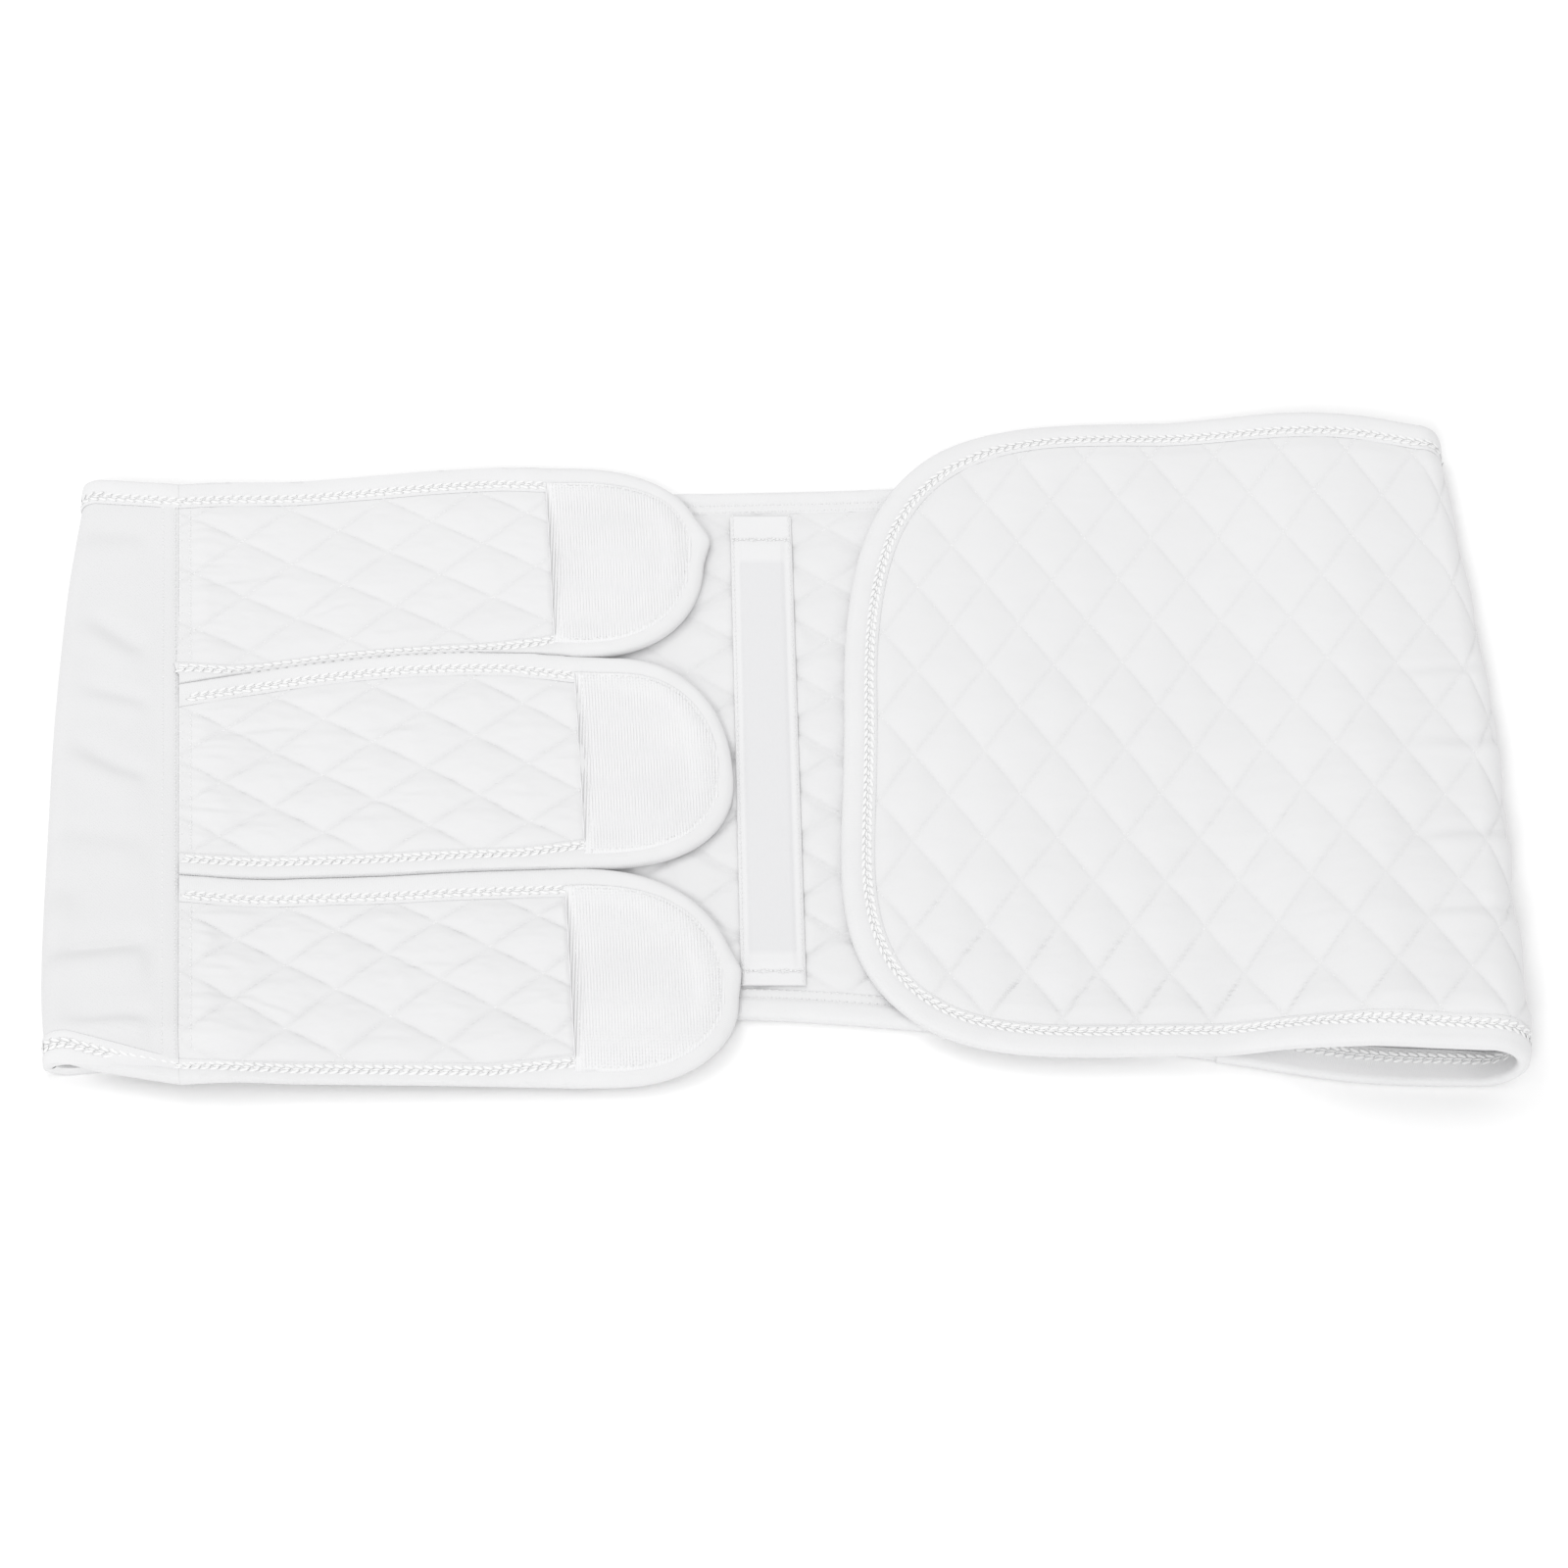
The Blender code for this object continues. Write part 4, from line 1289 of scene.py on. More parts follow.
def braid_tree():
    """Crossing threads and two rows of short stitches for each link of the braid."""
    inputs = (
        ("Pitch", "NodeSocketFloat"),
        ("Width", "NodeSocketFloat"),
        ("Thread", "NodeSocketFloat"),
        ("Material", "NodeSocketMaterial"),
    )
    tree, graph, given = tree_with("braided_stitching", inputs)
    line = stations(graph, given["Geometry"], given["Pitch"])
    ball = graph.add("GeometryNodeMeshUVSphere", {}, {"Segments": 6, "Rings": 4, "Radius": 0.5})
    links = []
    for side, turn, long, thick in ((0.5, -0.32, 1.35, 3.6), (-0.5, 0.32, 1.35, 3.6), (0, 0, 1.0, 2.4)):
        size = graph.add(
            "ShaderNodeCombineXYZ",
            {},
            {0: given["Pitch"] * long, 1: given["Thread"] * thick, 2: given["Thread"] * 0.9},
        )
        place = graph.add(
            "ShaderNodeCombineXYZ",
            {},
            {0: given["Pitch"] * (0.5 * side), 1: given["Width"] * (0.62 * side)},
        )
        links.append(
            graph.add(
                "GeometryNodeTransform",
                {},
                {
                    "Geometry": ball,
                    "Translation": place,
                    "Rotation": (0.0, 0.0, turn),
                    "Scale": size,
                },
            )
        )
    join = tree.nodes.new("GeometryNodeJoinGeometry")
    for link in reversed(links):
        tree.links.new(link.socket, join.inputs[0])
    joined = Socket(graph, join.outputs[0])
    close_tree(graph, line, joined, facing_rotation(graph), given["Material"])
    return tree


def hook_tree():
    """A small bent hook on each point."""
    inputs = (
        ("Height", "NodeSocketFloat"),
        ("Thread", "NodeSocketFloat"),
        ("Material", "NodeSocketMaterial"),
    )
    tree, graph, given = tree_with("hook_field", inputs)
    corners = []
    for share in ((-0.35, 0.0), (0.1, 2.1), (0.55, 0.55)):
        corners.append(
            graph.add(
                "ShaderNodeCombineXYZ",
                {},
                {1: given["Height"] * share[0], 2: given["Height"] * share[1]},
            )
        )
    arc = graph.add(
        "GeometryNodeCurveQuadraticBezier",
        {},
        {"Resolution": 4, "Start": corners[0], "Middle": corners[1], "End": corners[2]},
    )
    ring = graph.add(
        "GeometryNodeCurvePrimitiveCircle",
        {},
        {"Resolution": 3, "Radius": given["Thread"] * 0.5},
    )
    hook = graph.add("GeometryNodeCurveToMesh", {}, {"Curve": arc, "Profile Curve": ring})
    turn = graph.add(
        "FunctionNodeAlignRotationToVector", {"axis": "Z"}, {"Vector": facing_of(graph)}
    )
    close_tree(graph, given["Geometry"], hook, turn, given["Material"])
    return tree


def grow(name, lines, build, values):
    """Run a geometry tree on lines of (points, facing) and keep the result as a plain mesh."""
    tree = bpy.data.node_groups.get(build.__name__) or build()
    tree.name = build.__name__
    points, edges, facing = [], [], []
    for spots, out in lines:
        first = len(points)
        points += spots.tolist()
        facing += out.tolist()
        if values.get("joined", True):
            edges += [(first + k, first + k + 1) for k in range(len(spots) - 1)]
    mesh = bpy.data.meshes.new(name + "_lines")
    mesh.from_pydata(points, edges, [])
    layer = mesh.attributes.new("facing", "FLOAT_VECTOR", "POINT")
    layer.data.foreach_set("vector", np.asarray(facing, np.float32).ravel())
    base = bpy.data.objects.new(name + "_lines", mesh)
    bpy.context.scene.collection.objects.link(base)
    modifier = base.modifiers.new(name, "NODES")
    modifier.node_group = tree
    for item in tree.interface.items_tree:
        if item.item_type == "SOCKET" and item.in_out == "INPUT" and item.name in values:
            modifier[item.identifier] = values[item.name]
    modifier[next(i.identifier for i in tree.interface.items_tree if i.name == "Material")] = (
        cloth(values["cloth"])
    )
    graph = bpy.context.evaluated_depsgraph_get()
    made = bpy.data.meshes.new_from_object(base.evaluated_get(graph))
    bpy.data.objects.remove(base)
    made.name = name
    made.shade_smooth()
    item = bpy.data.objects.new(name, made)
    bpy.context.scene.collection.objects.link(item)
    return item


def on_cloth(piece, spots, rise, face=None):
    """Points and facing directions of spots on a face of a piece."""
    face = face or piece.shown
    height = piece.height(spots, face) + rise
    return piece.cut.place(spots, height * face), piece.cut.normals(spots) * face


def keep(item, slot, *nodes, body="root"):
    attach(item, body)
    if nodes:
        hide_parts(*nodes)
    return item


def flat_size(cut):
    """Width, length and area of the flat cut."""
    loop = cut.loop
    after = np.roll(loop, -1, axis=0)
    area = abs(np.sum(loop[:, 0] * after[:, 1] - after[:, 0] * loop[:, 1])) / 2
    size = loop.max(axis=0) - loop.min(axis=0)
    return (float(size[1]), float(size[0])), float(area)


PIECES = {}


def gathers(spots, inset):
    """Folds that fan out of the seam, fine at it and broader away from it."""
    s, y = spots[..., 0], spots[..., 1]
    seed = settings().seed
    depth = settings().quilt.gather
    fine = np.sin(y / 0.0046 * tau + 2.2 * ripple(s, y, 0.011, seed + 8))
    broad = ripple(s * 0.28, y, 0.0085, seed + 9)
    close = smooth((inset - TAPE_DEPTH) / 0.004)
    flat = smooth((s - 0.0040) / 0.0035)
    fan = np.exp(-np.maximum(s - 0.004, 0) / 0.012) * (0.35 + 0.65 * flat)
    row = np.exp(-(((s - 0.0046) / 0.0011) ** 2))
    pulled = depth * (0.5 * fine + 1.3 * broad) * fan - 0.0003 * row
    return close * (pulled + creases(s, y, TAB_CREASES))


def creases(x, y, table):
    """Soft hollows with a low rise on their near side."""
    relief = 0.0 * x
    off_line = 0.0012 * ripple(x, y, 0.012, settings().seed + 60)
    for cx, cy, angle, length, width, depth in table:
        turn = radians(angle)
        dx, dy = x - cx, y - cy
        run, off = dx * cos(turn) + dy * sin(turn), -dx * sin(turn) + dy * cos(turn) + off_line
        fold = depth * np.exp(-((run / (length * 0.5)) ** 4))
        relief = relief - fold * np.exp(-((off / width) ** 2))
        relief = relief + 0.7 * fold * np.exp(-(((off + 1.9 * width) / (1.4 * width)) ** 2))
    return relief


def front_relief(spots, inset):
    """The creases that cross the fold of the front."""
    return creases(spots[..., 0], spots[..., 1], FRONT_CREASES) * smooth((inset - 0.014) / 0.01)


def elastic_relief(spots, inset):
    """The hem along the seam and the soft creases across the elastic."""
    along, y = spots[..., 0], spots[..., 1]
    x = LEFT.crest_x(y) + np.abs(along) - LEFT.quarter + LEFT.loop_height(y) / 2
    left = seam_x(y) - x
    hem = settings().elastic.hem
    raised = smooth((hem - left) / 0.0008) * smooth(left / 0.0006)
    line = np.exp(-(((left - hem + 0.0012) / 0.0007) ** 2))
    relief = 0.00045 * raised - 0.0003 * line
    upper = smooth(along / 0.008) * smooth((left - hem - 0.001) / 0.006)
    close = smooth((inset - TAPE_DEPTH) / 0.004)
    return relief + creases(x, y, ELASTIC_CREASES) * upper * close


def tab_plan(spots):
    return np.stack((spots[..., 0] + seam_x(spots[..., 1]), spots[..., 1]), axis=-1)


def tab_flat(plan):
    return np.stack((plan[..., 0] - seam_x(plan[..., 1]), plan[..., 1]), axis=-1)


def front_plan(spots):
    """Plan place of the upper layer, carried on flat past the fold."""
    across = spots[..., 1]
    reach = spots[..., 0] - RIGHT.quarter + RIGHT.loop_height(across) / 2
    return np.stack((RIGHT.crest_x(across) - reach, across), axis=-1)


def front_flat(plan):
    return np.stack((RIGHT.along_at(plan[..., 0], plan[..., 1]), plan[..., 1]), axis=-1)


def same(spots):
    return spots


def off_casing(spots):
    """0 under the stay casing and 1 beside it."""
    middle = casing_left(spots[..., 1]) + CASING_WIDTH / 2
    away = np.abs(spots[..., 0] - middle) - CASING_WIDTH / 2
    return smooth((away + 0.0002) / 0.0020)


def middle_ceiling(spots):
    """How high the middle may puff: under the tabs, the casing and the front only to PAD."""
    x = spots[..., 0]
    clear = smooth((x - 0.222) / 0.006) * (1 - smooth((x - 0.298) / 0.006))
    return PAD - 0.0001 + 0.0005 * clear * off_casing(spots)


def get_piece(name):
    """Each cut and its relief, worked out once."""
    if name in PIECES:
        return PIECES[name]
    seed = settings().seed
    if name == "back_panel":
        made = Piece(middle_cut(), Quilt(name, same, same, seed + 20), shown=-1, ceiling=middle_ceiling)
    elif name == "front_panel":
        quilt = Quilt(name, front_plan, front_flat, seed + 21)
        made = Piece(front_cut(), quilt, relief=front_relief, wrinkle=0.4, puff=0.85)
    elif name == "elastic_panel":
        made = Piece(elastic_cut(), None, relief=elastic_relief)
    else:
        tab = next(row for row in TABS if "tab_" + row[0] == name)
        quilt = Quilt(name, tab_plan, tab_flat, seed + 22 + TABS.index(tab))
        hook_start = tab[7] * TAB_LENGTH

        def calm(spots):
            under = 1 - smooth((spots[..., 0] - hook_start + 0.0010) / 0.0022)
            return under * (0.15 + 0.85 * smooth((spots[..., 0] - 0.002) / 0.009))

        made = Piece(tab_cut(tab), quilt, relief=gathers, calm=calm, puff=1.05)
    PIECES[name] = made
    return made


def stitched(name, lines, share=0.72, length=None, thread=None):
    stitch = settings().stitch
    values = {
        "Stitch length": length or stitch.length,
        "Thread": thread or stitch.thread,
        "Bead share": share,
        "cloth": "sewing_thread",
    }
    return keep(grow(name, lines, stitch_tree, values), None)


def braided(name, lines):
    stitch = settings().stitch
    values = {
        "Pitch": stitch.braid_pitch,
        "Width": stitch.braid_width,
        "Thread": stitch.thread * 1.1,
        "cloth": "sewing_thread",
    }
    return keep(grow(name, lines, braid_tree, values), None)


def ring_line(piece, inset, first, last, rise, face=None):
    """A line on the tape, at an inset, between two corners of the loop."""
    face = face or piece.shown
    cut = piece.cut
    steps = np.arange(first, last + 1) % len(cut.loop)
    spots = cut.ring(inset, SEAM)[steps]
    out = cut.normals(spots) * face
    return cut.place(spots, (0 * spots[:, 0] + rise) * face), out


BAND_TOP = PAD - 0.0006


def hook_field(cut, spots):
    """0 on the rim of a hook patch and 1 in the field of hooks."""
    return smooth((cut.inset_of(spots) - HOOK_RIM) / HOOK_SLOPE)


class BINDER_OT_middle(bpy.types.Operator):
    """Build the quilted middle with its two bound edges"""

    bl_idname = "binder.middle"
    bl_label = "Middle panel"

    def execute(self, context):
        piece = get_piece("back_panel")
        cut = piece.cut
        body = panel("quilted_middle", piece, cloth("quilted_cotton"), PANEL_INSET)
        keep(body, "quilted_cotton", "back_panel")
        section = tape_section(FLAT_FULLNESS)
        lines = []
        far = cut.long + cut.wide
        for name, first in (("near", 0), ("far", far)):
            item = tape(
                "middle_binding_" + name, piece, first, first + cut.long,
                cloth("binding_tape"), section, 0.0
            )
            keep(item, "binding_tape", "back_binding_" + name)
            for inset in MIDDLE_STITCHES:
                lines.append(ring_line(piece, inset, first, first + cut.long, BAND_TOP))
        stitched("middle_binding_stitches", lines)
        rows = []
        for spots in piece.quilt.lines(cut, TAPE_DEPTH):
            rows += runs(spots, off_casing(spots) > 0.02)
        quilting = [on_cloth(piece, spots, 0.0) for spots in rows]
        stitched("middle_quilting_stitches", quilting)
        size, area = flat_size(cut)
        return {"FINISHED"}


class BINDER_OT_casing(bpy.types.Operator):
    """Build the stay casing across the middle"""

    bl_idname = "binder.casing"
    bl_label = "Stay casing"

    def execute(self, context):
        core = settings().casing.core / 2
        middle_x = casing_left(0.0) + CASING_WIDTH / 2
        near_y = float(lower_edge(1, middle_x)) + TAPE_DEPTH + GAP
        far_y = float(lower_edge(2, middle_x)) - TAPE_DEPTH - GAP
        half = CASING_WIDTH / 2
        base = PAD + GAP
        across = np.linspace(near_y, far_y, 181)
        places = np.array(
            [-half, -half + 0.0004, -half + 0.0014, -core - 0.0008, -core, -core + 0.0009]
            + list(np.linspace(-core + 0.002, core - 0.002, 9))
            + [core - 0.0009, core, core + 0.0008, half - 0.0014, half - 0.0004, half]
        )
        rise = np.where(np.abs(places) < core - 0.0005, CASING_HIGH, CASING_LOW)
        rise = np.where(np.abs(places) > half - 0.0006, 0.0004, rise)
        rise = np.where(np.abs(places) > half - 0.0002, 0.0001, rise)
        rise = rise + 0.0002 * (1 - (np.minimum(np.abs(places), core) / core) ** 2)
        x = casing_left(across)[:, None] + half + places[None]
        y = np.repeat(across[:, None], len(places), axis=1)
        ends = smooth((y - near_y - 0.0055) / 0.003) * smooth((far_y - 0.0105 - y) / 0.003)
        body = CASING_LOW + (rise[None] - CASING_LOW) * np.where(np.abs(places) < core, ends, 1.0)
        body = body + 0.00012 * ripple(x, y, 0.012, settings().seed + 40)
        top = np.stack((x, y, LOWER_LEVEL + base + body), axis=-1) + SHIFT
        low = np.stack((x, y, 0 * x + LOWER_LEVEL + base), axis=-1) + SHIFT
        rows, columns = x.shape
        index = np.arange(rows * columns).reshape(rows, columns)
        faces = grid_faces(index) + grid_faces(index + rows * columns)
        rim = index[0].tolist() + index[1:, -1].tolist()
        rim += index[-1, -2::-1].tolist() + index[-2:0:-1, 0].tolist()
        for here, there in zip(rim, rim[1:] + rim[:1]):
            faces.append((here, there, there + rows * columns, here + rows * columns))
        points = np.concatenate((top.reshape(-1, 3), low.reshape(-1, 3)))
        flat = np.stack((x * 0 + places[None] / core, (y - near_y) / (far_y - near_y)), axis=-1)
        uv = np.concatenate((flat.reshape(-1, 2), flat.reshape(-1, 2)))
        item = mesh_object("casing", points, faces, cloth("casing_cotton"), uv)
        keep(turn_out(item), "casing_cotton", "stay_casing")
        up = np.array((0.0, 0.0, 1.0))
        lines = []
        for place in (-half + 0.0010, half - 0.0010):
            line_x = casing_left(across) + half + place
            spots = np.stack((line_x, across, 0 * across + LOWER_LEVEL + base + 0.0009), 1) + SHIFT
            lines.append((spots, np.repeat(up[None], len(across), 0)))
        for y0 in (near_y + 0.0055, far_y - 0.0110):
            for lean in (-1, 1):
                zig = np.linspace(-half + 0.001, half - 0.001, 19)
                dy = 0.0007 * lean * np.where(np.arange(19) % 2, 1, -1)
                line_x = casing_left(y0) + half + zig
                spots = np.stack((line_x, y0 + dy, 0 * zig + LOWER_LEVEL + base + 0.0010), 1)
                lines.append((spots + SHIFT, np.repeat(up[None], 19, 0)))
        threads = stitched("casing_stitches", lines, length=CASING_STITCH)
        return {"FINISHED"}


class BINDER_OT_elastic(bpy.types.Operator):
    """Build the folded elastic panel with its two bound edges"""

    bl_idname = "binder.elastic"
    bl_label = "Elastic panel"

    def execute(self, context):
        piece = get_piece("elastic_panel")
        cut = piece.cut
        body = panel("elastic_fold", piece, cloth("knitted_elastic"), PANEL_INSET)
        keep(body, "knitted_elastic", "elastic_panel")
        section = tape_section(settings().tape.fullness)
        far = cut.long + cut.wide
        lines = []
        for name, first in (("near", 0), ("far", far)):
            item = tape(
                "elastic_edge_" + name, piece, first, first + cut.long,
                cloth("binding_tape"), section
            )
            keep(item, "binding_tape", "elastic_binding_" + name)
            inset = settings().tape.band_inner
            lines.append(ring_line(piece, inset, first, first + cut.long, BAND_TOP))
        braided("elastic_braid", lines)
        hem = settings().elastic.hem
        across = np.linspace(cut.loop[cut.long][1] + 0.011, cut.loop[far][1] - 0.011, 220)
        seam_lines = []
        for left in (hem - 0.0012, 0.0012):
            spots = pairs(seam_along(across) - left, across)
            seam_lines.append(on_cloth(piece, spots, 0.0001))
        stitched("elastic_hem_stitches", seam_lines, length=HEM_STITCH)
        size, area = flat_size(cut)
        return {"FINISHED"}


class BINDER_OT_tabs(bpy.types.Operator):
    """Build the three quilted tabs with their bindings"""

    bl_idname = "binder.tabs"
    bl_label = "Tabs"

    def execute(self, context):
        section = tape_section(settings().tape.fullness)
        inset = settings().tape.band_inner
        for tab in TABS:
            name = tab[0]
            piece = get_piece("tab_" + name)
            cut = piece.cut
            body = panel("quilted_tab_" + name, piece, cloth("quilted_cotton"), PANEL_INSET)
            keep(body, "quilted_cotton", "tab_" + name)
            last = 2 * cut.long + cut.wide
            item = tape("tab_edge_" + name, piece, 0, last, cloth("binding_tape"), section)
            with_pieces = [keep(item, "binding_tape", "tab_binding_" + name)]
            bands = [
                ring_line(piece, inset, 3, cut.settle, BAND_TOP),
                ring_line(piece, inset, last - cut.settle, last - 3, BAND_TOP),
            ]
            with_pieces.append(braided("tab_braid_" + name, bands))
            hook_start = tab[7] * TAB_LENGTH
            lines = []
            for spots in piece.quilt.lines(cut, TAPE_DEPTH):
                lines += runs(spots, (spots[:, 0] > 0.005) & (spots[:, 0] < hook_start))
            quilting = [on_cloth(piece, spots, 0.0) for spots in lines]
            near, far = cut.loop[0][1] + 0.0125, cut.loop[last][1] - 0.0125
            across = np.linspace(near, far, 80)
            quilting.append(on_cloth(piece, pairs(0 * across + 0.0042, across), 0.0001))
            for y in np.arange(near + 0.0015, far, 0.0037):
                across = np.full(4, y + 0.0004 * np.sin(y * 3000))
                rung = pairs(np.linspace(0.0006, 0.0040, 4), across)
                quilting.append(on_cloth(piece, rung, 0.0))
            with_pieces.append(stitched("tab_stitches_" + name, quilting))
            size, area = flat_size(cut)
        return {"FINISHED"}


class BINDER_OT_hooks(bpy.types.Operator):
    """Build the hook patches on the ends of the tabs"""

    bl_idname = "binder.hooks"
    bl_label = "Hook patches"

    def execute(self, context):
        tuning = settings().hook
        for tab in TABS:
            name = tab[0]
            piece = get_piece("tab_" + name)
            cut = piece.cut
            last = cut.long + cut.wide
            share = (np.arange(len(cut.loop)) - cut.long) / cut.wide
            margins = tuning.margin + 0.0032 * smooth((share - 0.55) / 0.45)
            ring = cut.ring(margins, GAP, tucked=False)
            near = ring[cut.settle : cut.long + 1]
            end = ring[cut.long + 1 : last]
            far = ring[last : last + cut.long - cut.settle + 1][::-1]
            start = float(near[0, 0])
            patch = Cut(tab_point, -1, near, end, far, 0, lambda _: start)
            outline = patch.ring(0.0)
            low = PAD - 0.0002
            points, faces, flat = [], [], []
            levels = ((0.0, low - 0.0012), (0.0, low + 0.0003), (0.0004, low + 0.0006))
            count = len(outline)
            for inset, height in levels:
                spots = patch.ring(inset, inset)
                points.append(cut.place(spots, 0 * spots[:, 0] + height))
                flat.append(spots * 1000)
            for level in (0, 1):
                for k in range(count):
                    k1 = (k + 1) % count
                    a, b = level * count, (level + 1) * count
                    faces.append((a + k, a + k1, b + k1, b + k))
            spots = patch.grid(patch.ring(0.0004, 0.0004))[:, ::3]
            inner = hook_field(cut, spots)
            soft = ripple(spots[..., 0], spots[..., 1], 0.02, settings().seed + 50)
            height = low + 0.0006 - HOOK_SINK * inner + 0.0001 * soft
            inner = cut.place(spots, height)
            base = 3 * count
            rows, columns = inner.shape[:2]
            index = np.arange(rows * columns).reshape(rows, columns) + base
            faces += grid_faces(index)
            points.append(inner.reshape(-1, 3))
            flat.append(spots.reshape(-1, 2) * 1000)
            item = mesh_object(
                "hook_patch_" + name + "_base",
                np.concatenate(points),
                faces,
                cloth("hook_tape"),
                np.concatenate(flat),
            )
            bm = bmesh.new()
            bm.from_mesh(item.data)
            bmesh.ops.remove_doubles(bm, verts=bm.verts, dist=0.00008)
            bmesh.ops.holes_fill(bm, edges=bm.edges, sides=0)
            bmesh.ops.recalc_face_normals(bm, faces=bm.faces)
            bm.to_mesh(item.data)
            bm.free()
            keep(item, "hook_tape", "hook_patch_" + name)
            pitch = tuning.pitch
            low_spot, high_spot = outline.min(axis=0), outline.max(axis=0)
            a = np.arange(low_spot[0] + 0.0038, high_spot[0], pitch)
            y = np.arange(low_spot[1], high_spot[1], pitch * 1.1)
            field = np.stack(np.meshgrid(a, y, indexing="ij"), axis=-1)
            field[::2, :, 1] += pitch * 0.3
            field = field.reshape(-1, 2)
            field = field[patch.holds(field)]
            field = field[patch.inset_of(field) > 0.0014]
            out = cut.normals(field)
            inner = hook_field(cut, field)
            spots = cut.place(field, low + 0.0005 - HOOK_SINK * inner)
            values = {
                "Height": HOOK_HEIGHT, "Thread": HOOK_THREAD, "cloth": "hook_tape", "joined": False
            }
            hooks = grow("hooks_" + name, [(spots, out)], hook_tree, values)
            keep(hooks, "hook_tape")
            line = np.linspace(near[0, 1] + 0.001, far[0, 1] - 0.001, 80)
            edge = pairs(0 * line + start + 0.0026, line)
            inner = hook_field(cut, edge)
            threads = [(cut.place(edge, low + 0.0007 - HOOK_SINK * inner), cut.normals(edge))]
            steps = np.arange(cut.long - cut.settle, cut.long - cut.settle + cut.wide)
            round_tip = patch.ring(0.0014, 0.0014)[steps]
            threads.append((cut.place(round_tip, 0 * steps + low + 0.0007), cut.normals(round_tip)))
            sewn = stitched("hook_patch_stitches_" + name, threads)
            size, area = flat_size(patch)
        return {"FINISHED"}


class BINDER_OT_front(bpy.types.Operator):
    """Build the wide quilted front panel with its binding"""

    bl_idname = "binder.front"
    bl_label = "Front panel"

    def execute(self, context):
        piece = get_piece("front_panel")
        cut = piece.cut
        body = panel("quilted_front", piece, cloth("quilted_cotton"), PANEL_INSET)
        keep(body, "quilted_cotton", "front_panel")
        section = tape_section(settings().tape.fullness)
        last = 2 * cut.long + cut.wide
        item = tape("front_edge", piece, 0, last, cloth("binding_tape"), section)
        with_pieces = [keep(item, "binding_tape", "front_binding")]
        inset = settings().tape.band_inner
        bands = [
            ring_line(piece, inset, 0, last, BAND_TOP),
            ring_line(piece, inset, 0, cut.settle - 10, PAD + 0.0001, face=-piece.shown),
        ]
        with_pieces.append(braided("front_braid", bands))
        quilting = [on_cloth(piece, spots, 0.0) for spots in piece.quilt.lines(cut, TAPE_DEPTH)]
        with_pieces.append(stitched("front_stitches", quilting))
        size, area = flat_size(cut)
        return {"FINISHED"}


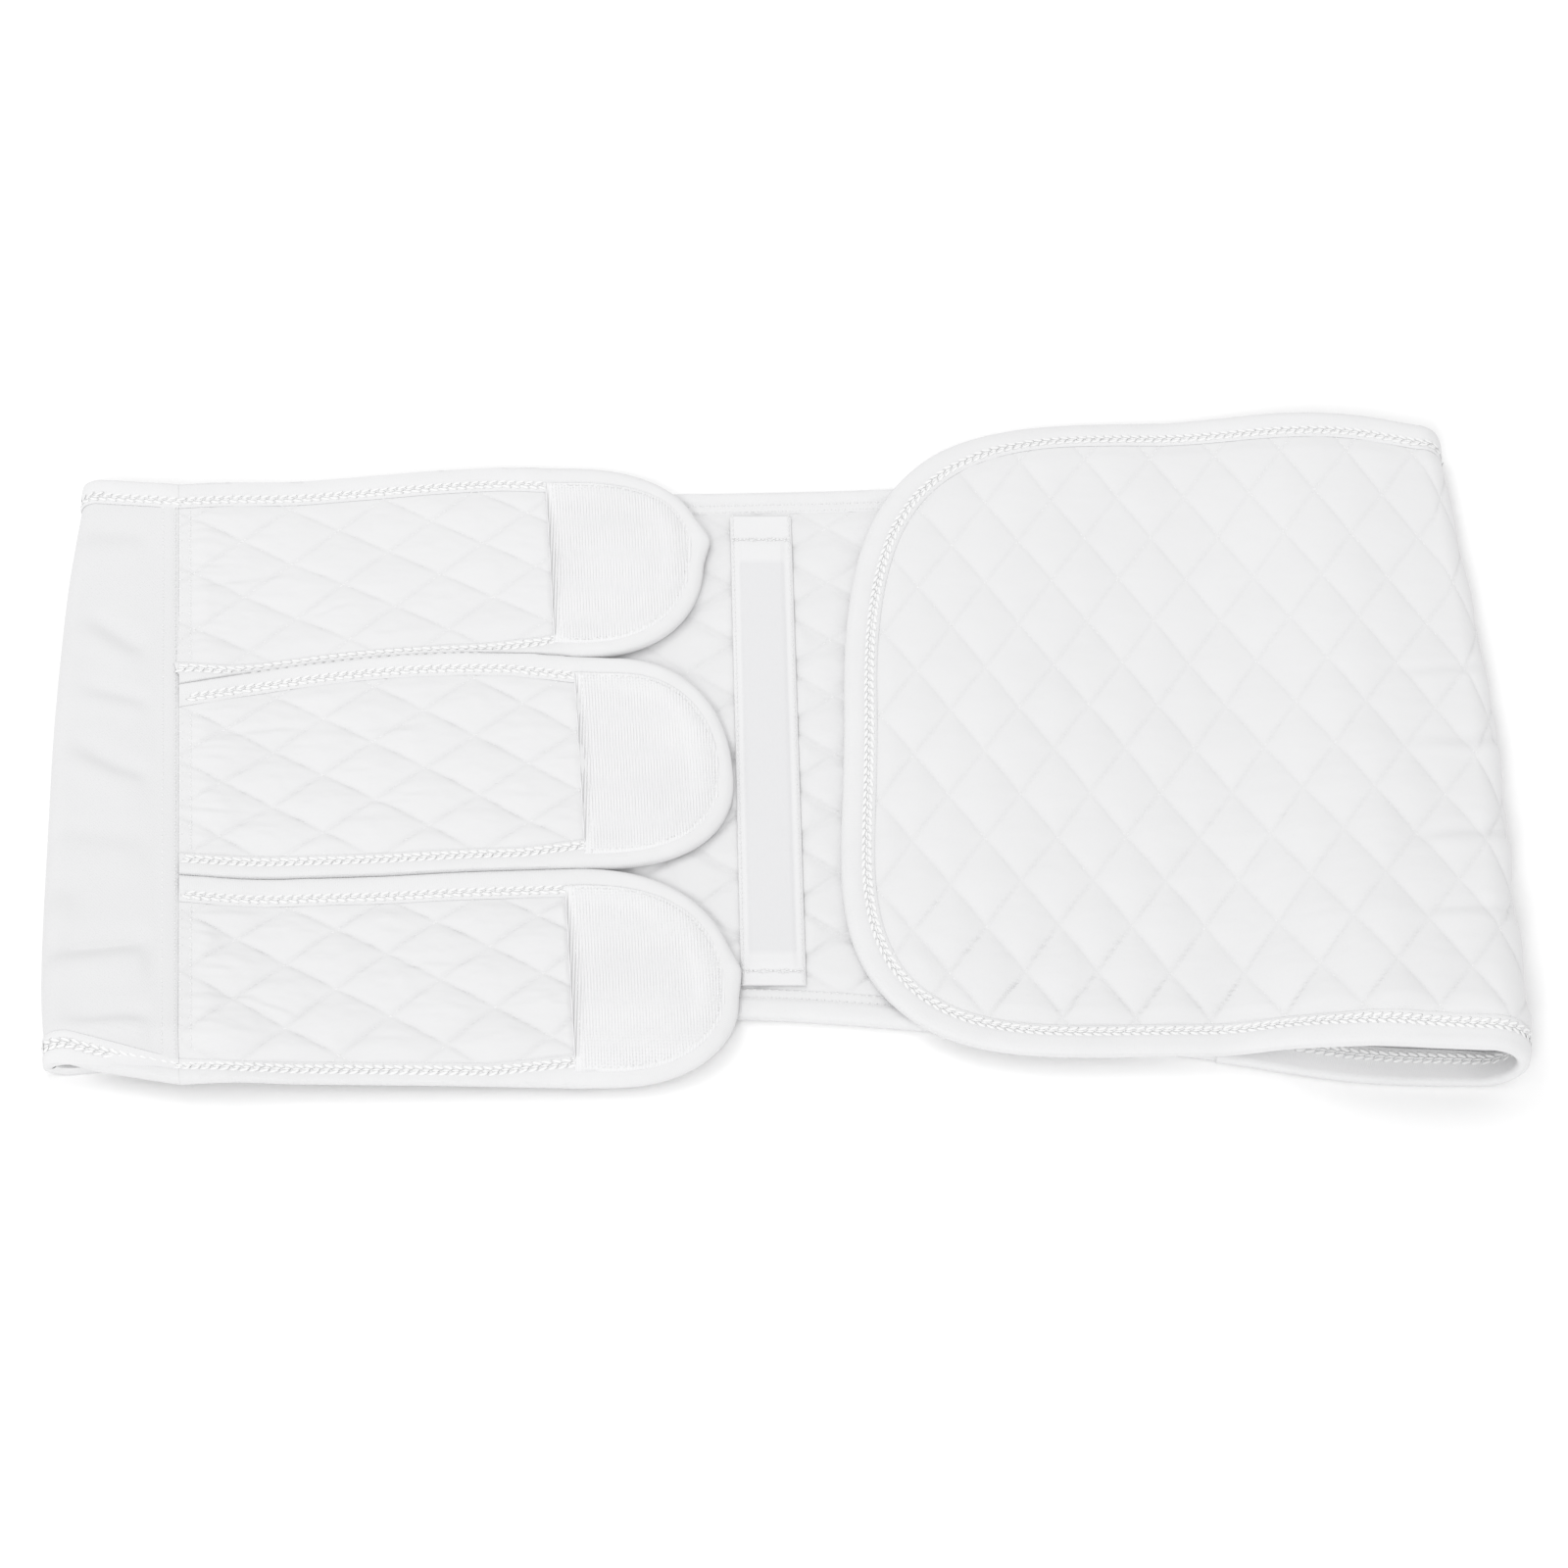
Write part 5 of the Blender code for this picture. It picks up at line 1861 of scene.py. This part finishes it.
class BINDER_OT_stage(bpy.types.Operator):
    """Set the pale floor, the soft lights and the camera"""

    bl_idname = "binder.stage"
    bl_label = "Stage"

    def execute(self, context):
        tuning = settings().stage
        scene = context.scene
        material = bpy.data.materials.new("pale_floor")
        material.use_nodes = True
        shader = material.node_tree.nodes["Principled BSDF"]
        shader.inputs["Base Color"].default_value = (0.98, 0.98, 0.98, 1.0)
        shader.inputs["Roughness"].default_value = 0.9
        shader.inputs["Specular IOR Level"].default_value = 0.0
        mesh = bpy.data.meshes.new("floor")
        reach = 4.0
        corners = [(-reach, -reach, 0), (reach, -reach, 0), (reach, reach, 0), (-reach, reach, 0)]
        mesh.from_pydata(corners, [], [(0, 1, 2, 3)])
        floor = bpy.data.objects.new("floor", mesh)
        mesh.materials.append(material)
        scene.collection.objects.link(floor)
        world = bpy.data.worlds.new("soft_sky")
        world.use_nodes = True
        sky = world.node_tree.nodes["Background"]
        sky.inputs["Color"].default_value = (1.0, 1.0, 1.0, 1.0)
        sky.inputs["Strength"].default_value = tuning.sky
        scene.world = world
        target = Vector((0.0, 0.0, 0.0))
        for name, place, size, power in (
            ("key_light", (-1.35, -4.88, 4.72), 2.1, tuning.key),
            ("fill_light", (-0.35, 0.45, 1.10), 0.7, tuning.fill),
        ):
            light = bpy.data.lights.new(name, "AREA")
            light.shape = "DISK"
            light.size = size
            light.energy = power
            lamp = bpy.data.objects.new(name, light)
            lamp.location = place
            lamp.rotation_euler = (target - Vector(place)).to_track_quat("-Z", "Y").to_euler()
            scene.collection.objects.link(lamp)
        lens = bpy.data.cameras.new("camera")
        lens.lens = tuning.lens
        lens.sensor_width = 36.0
        lens.clip_start, lens.clip_end = 0.01, 50.0
        camera = bpy.data.objects.new("camera", lens)
        e, d = tuning.elevation, tuning.distance
        camera.location = (SHIFT[0] + 0.2629, SHIFT[1] - 0.014 - d * cos(e), d * sin(e))
        camera.rotation_euler = (pi / 2 - e, 0.0, 0.0)
        scene.collection.objects.link(camera)
        scene.camera = camera
        scene.view_settings.view_transform = "Standard"
        return {"FINISHED"}


class BINDER_PT_panel(bpy.types.Panel):
    bl_label = "Abdominal binder"
    bl_idname = "BINDER_PT_panel"
    bl_space_type = "VIEW_3D"
    bl_region_type = "UI"
    bl_category = "Binder"

    def draw(self, context):
        layout = self.layout
        group = context.scene.binder
        for part in (
            group.quilt, group.tape, group.elastic, group.hook, group.stitch, group.casing,
            group.stage,
        ):
            column = layout.column(align=True)
            for key in part.bl_rna.properties.keys():
                if key not in ("rna_type", "name"):
                    column.prop(part, key)
        layout.prop(group, "seed")
        for operator in OPERATORS:
            layout.operator(operator.bl_idname)


SETTINGS = (
    QuiltSettings,
    TapeSettings,
    ElasticSettings,
    HookSettings,
    StitchSettings,
    CasingSettings,
    StageSettings,
    BinderSettings,
)
OPERATORS = (
    BINDER_OT_middle,
    BINDER_OT_casing,
    BINDER_OT_elastic,
    BINDER_OT_tabs,
    BINDER_OT_hooks,
    BINDER_OT_front,
    BINDER_OT_stage,
)


def register():
    for item in (*SETTINGS, *OPERATORS, BINDER_PT_panel):
        bpy.utils.register_class(item)
    bpy.types.Scene.binder = PointerProperty(type=BinderSettings)


def unregister():
    del bpy.types.Scene.binder
    for item in (BINDER_PT_panel, *reversed(OPERATORS), *reversed(SETTINGS)):
        bpy.utils.unregister_class(item)


def main():
    register()
    bpy.ops.binder.middle()
    bpy.ops.binder.casing()
    bpy.ops.binder.elastic()
    bpy.ops.binder.tabs()
    bpy.ops.binder.hooks()
    bpy.ops.binder.front()
    bpy.ops.binder.stage()


if __name__ == "__main__":
    main()
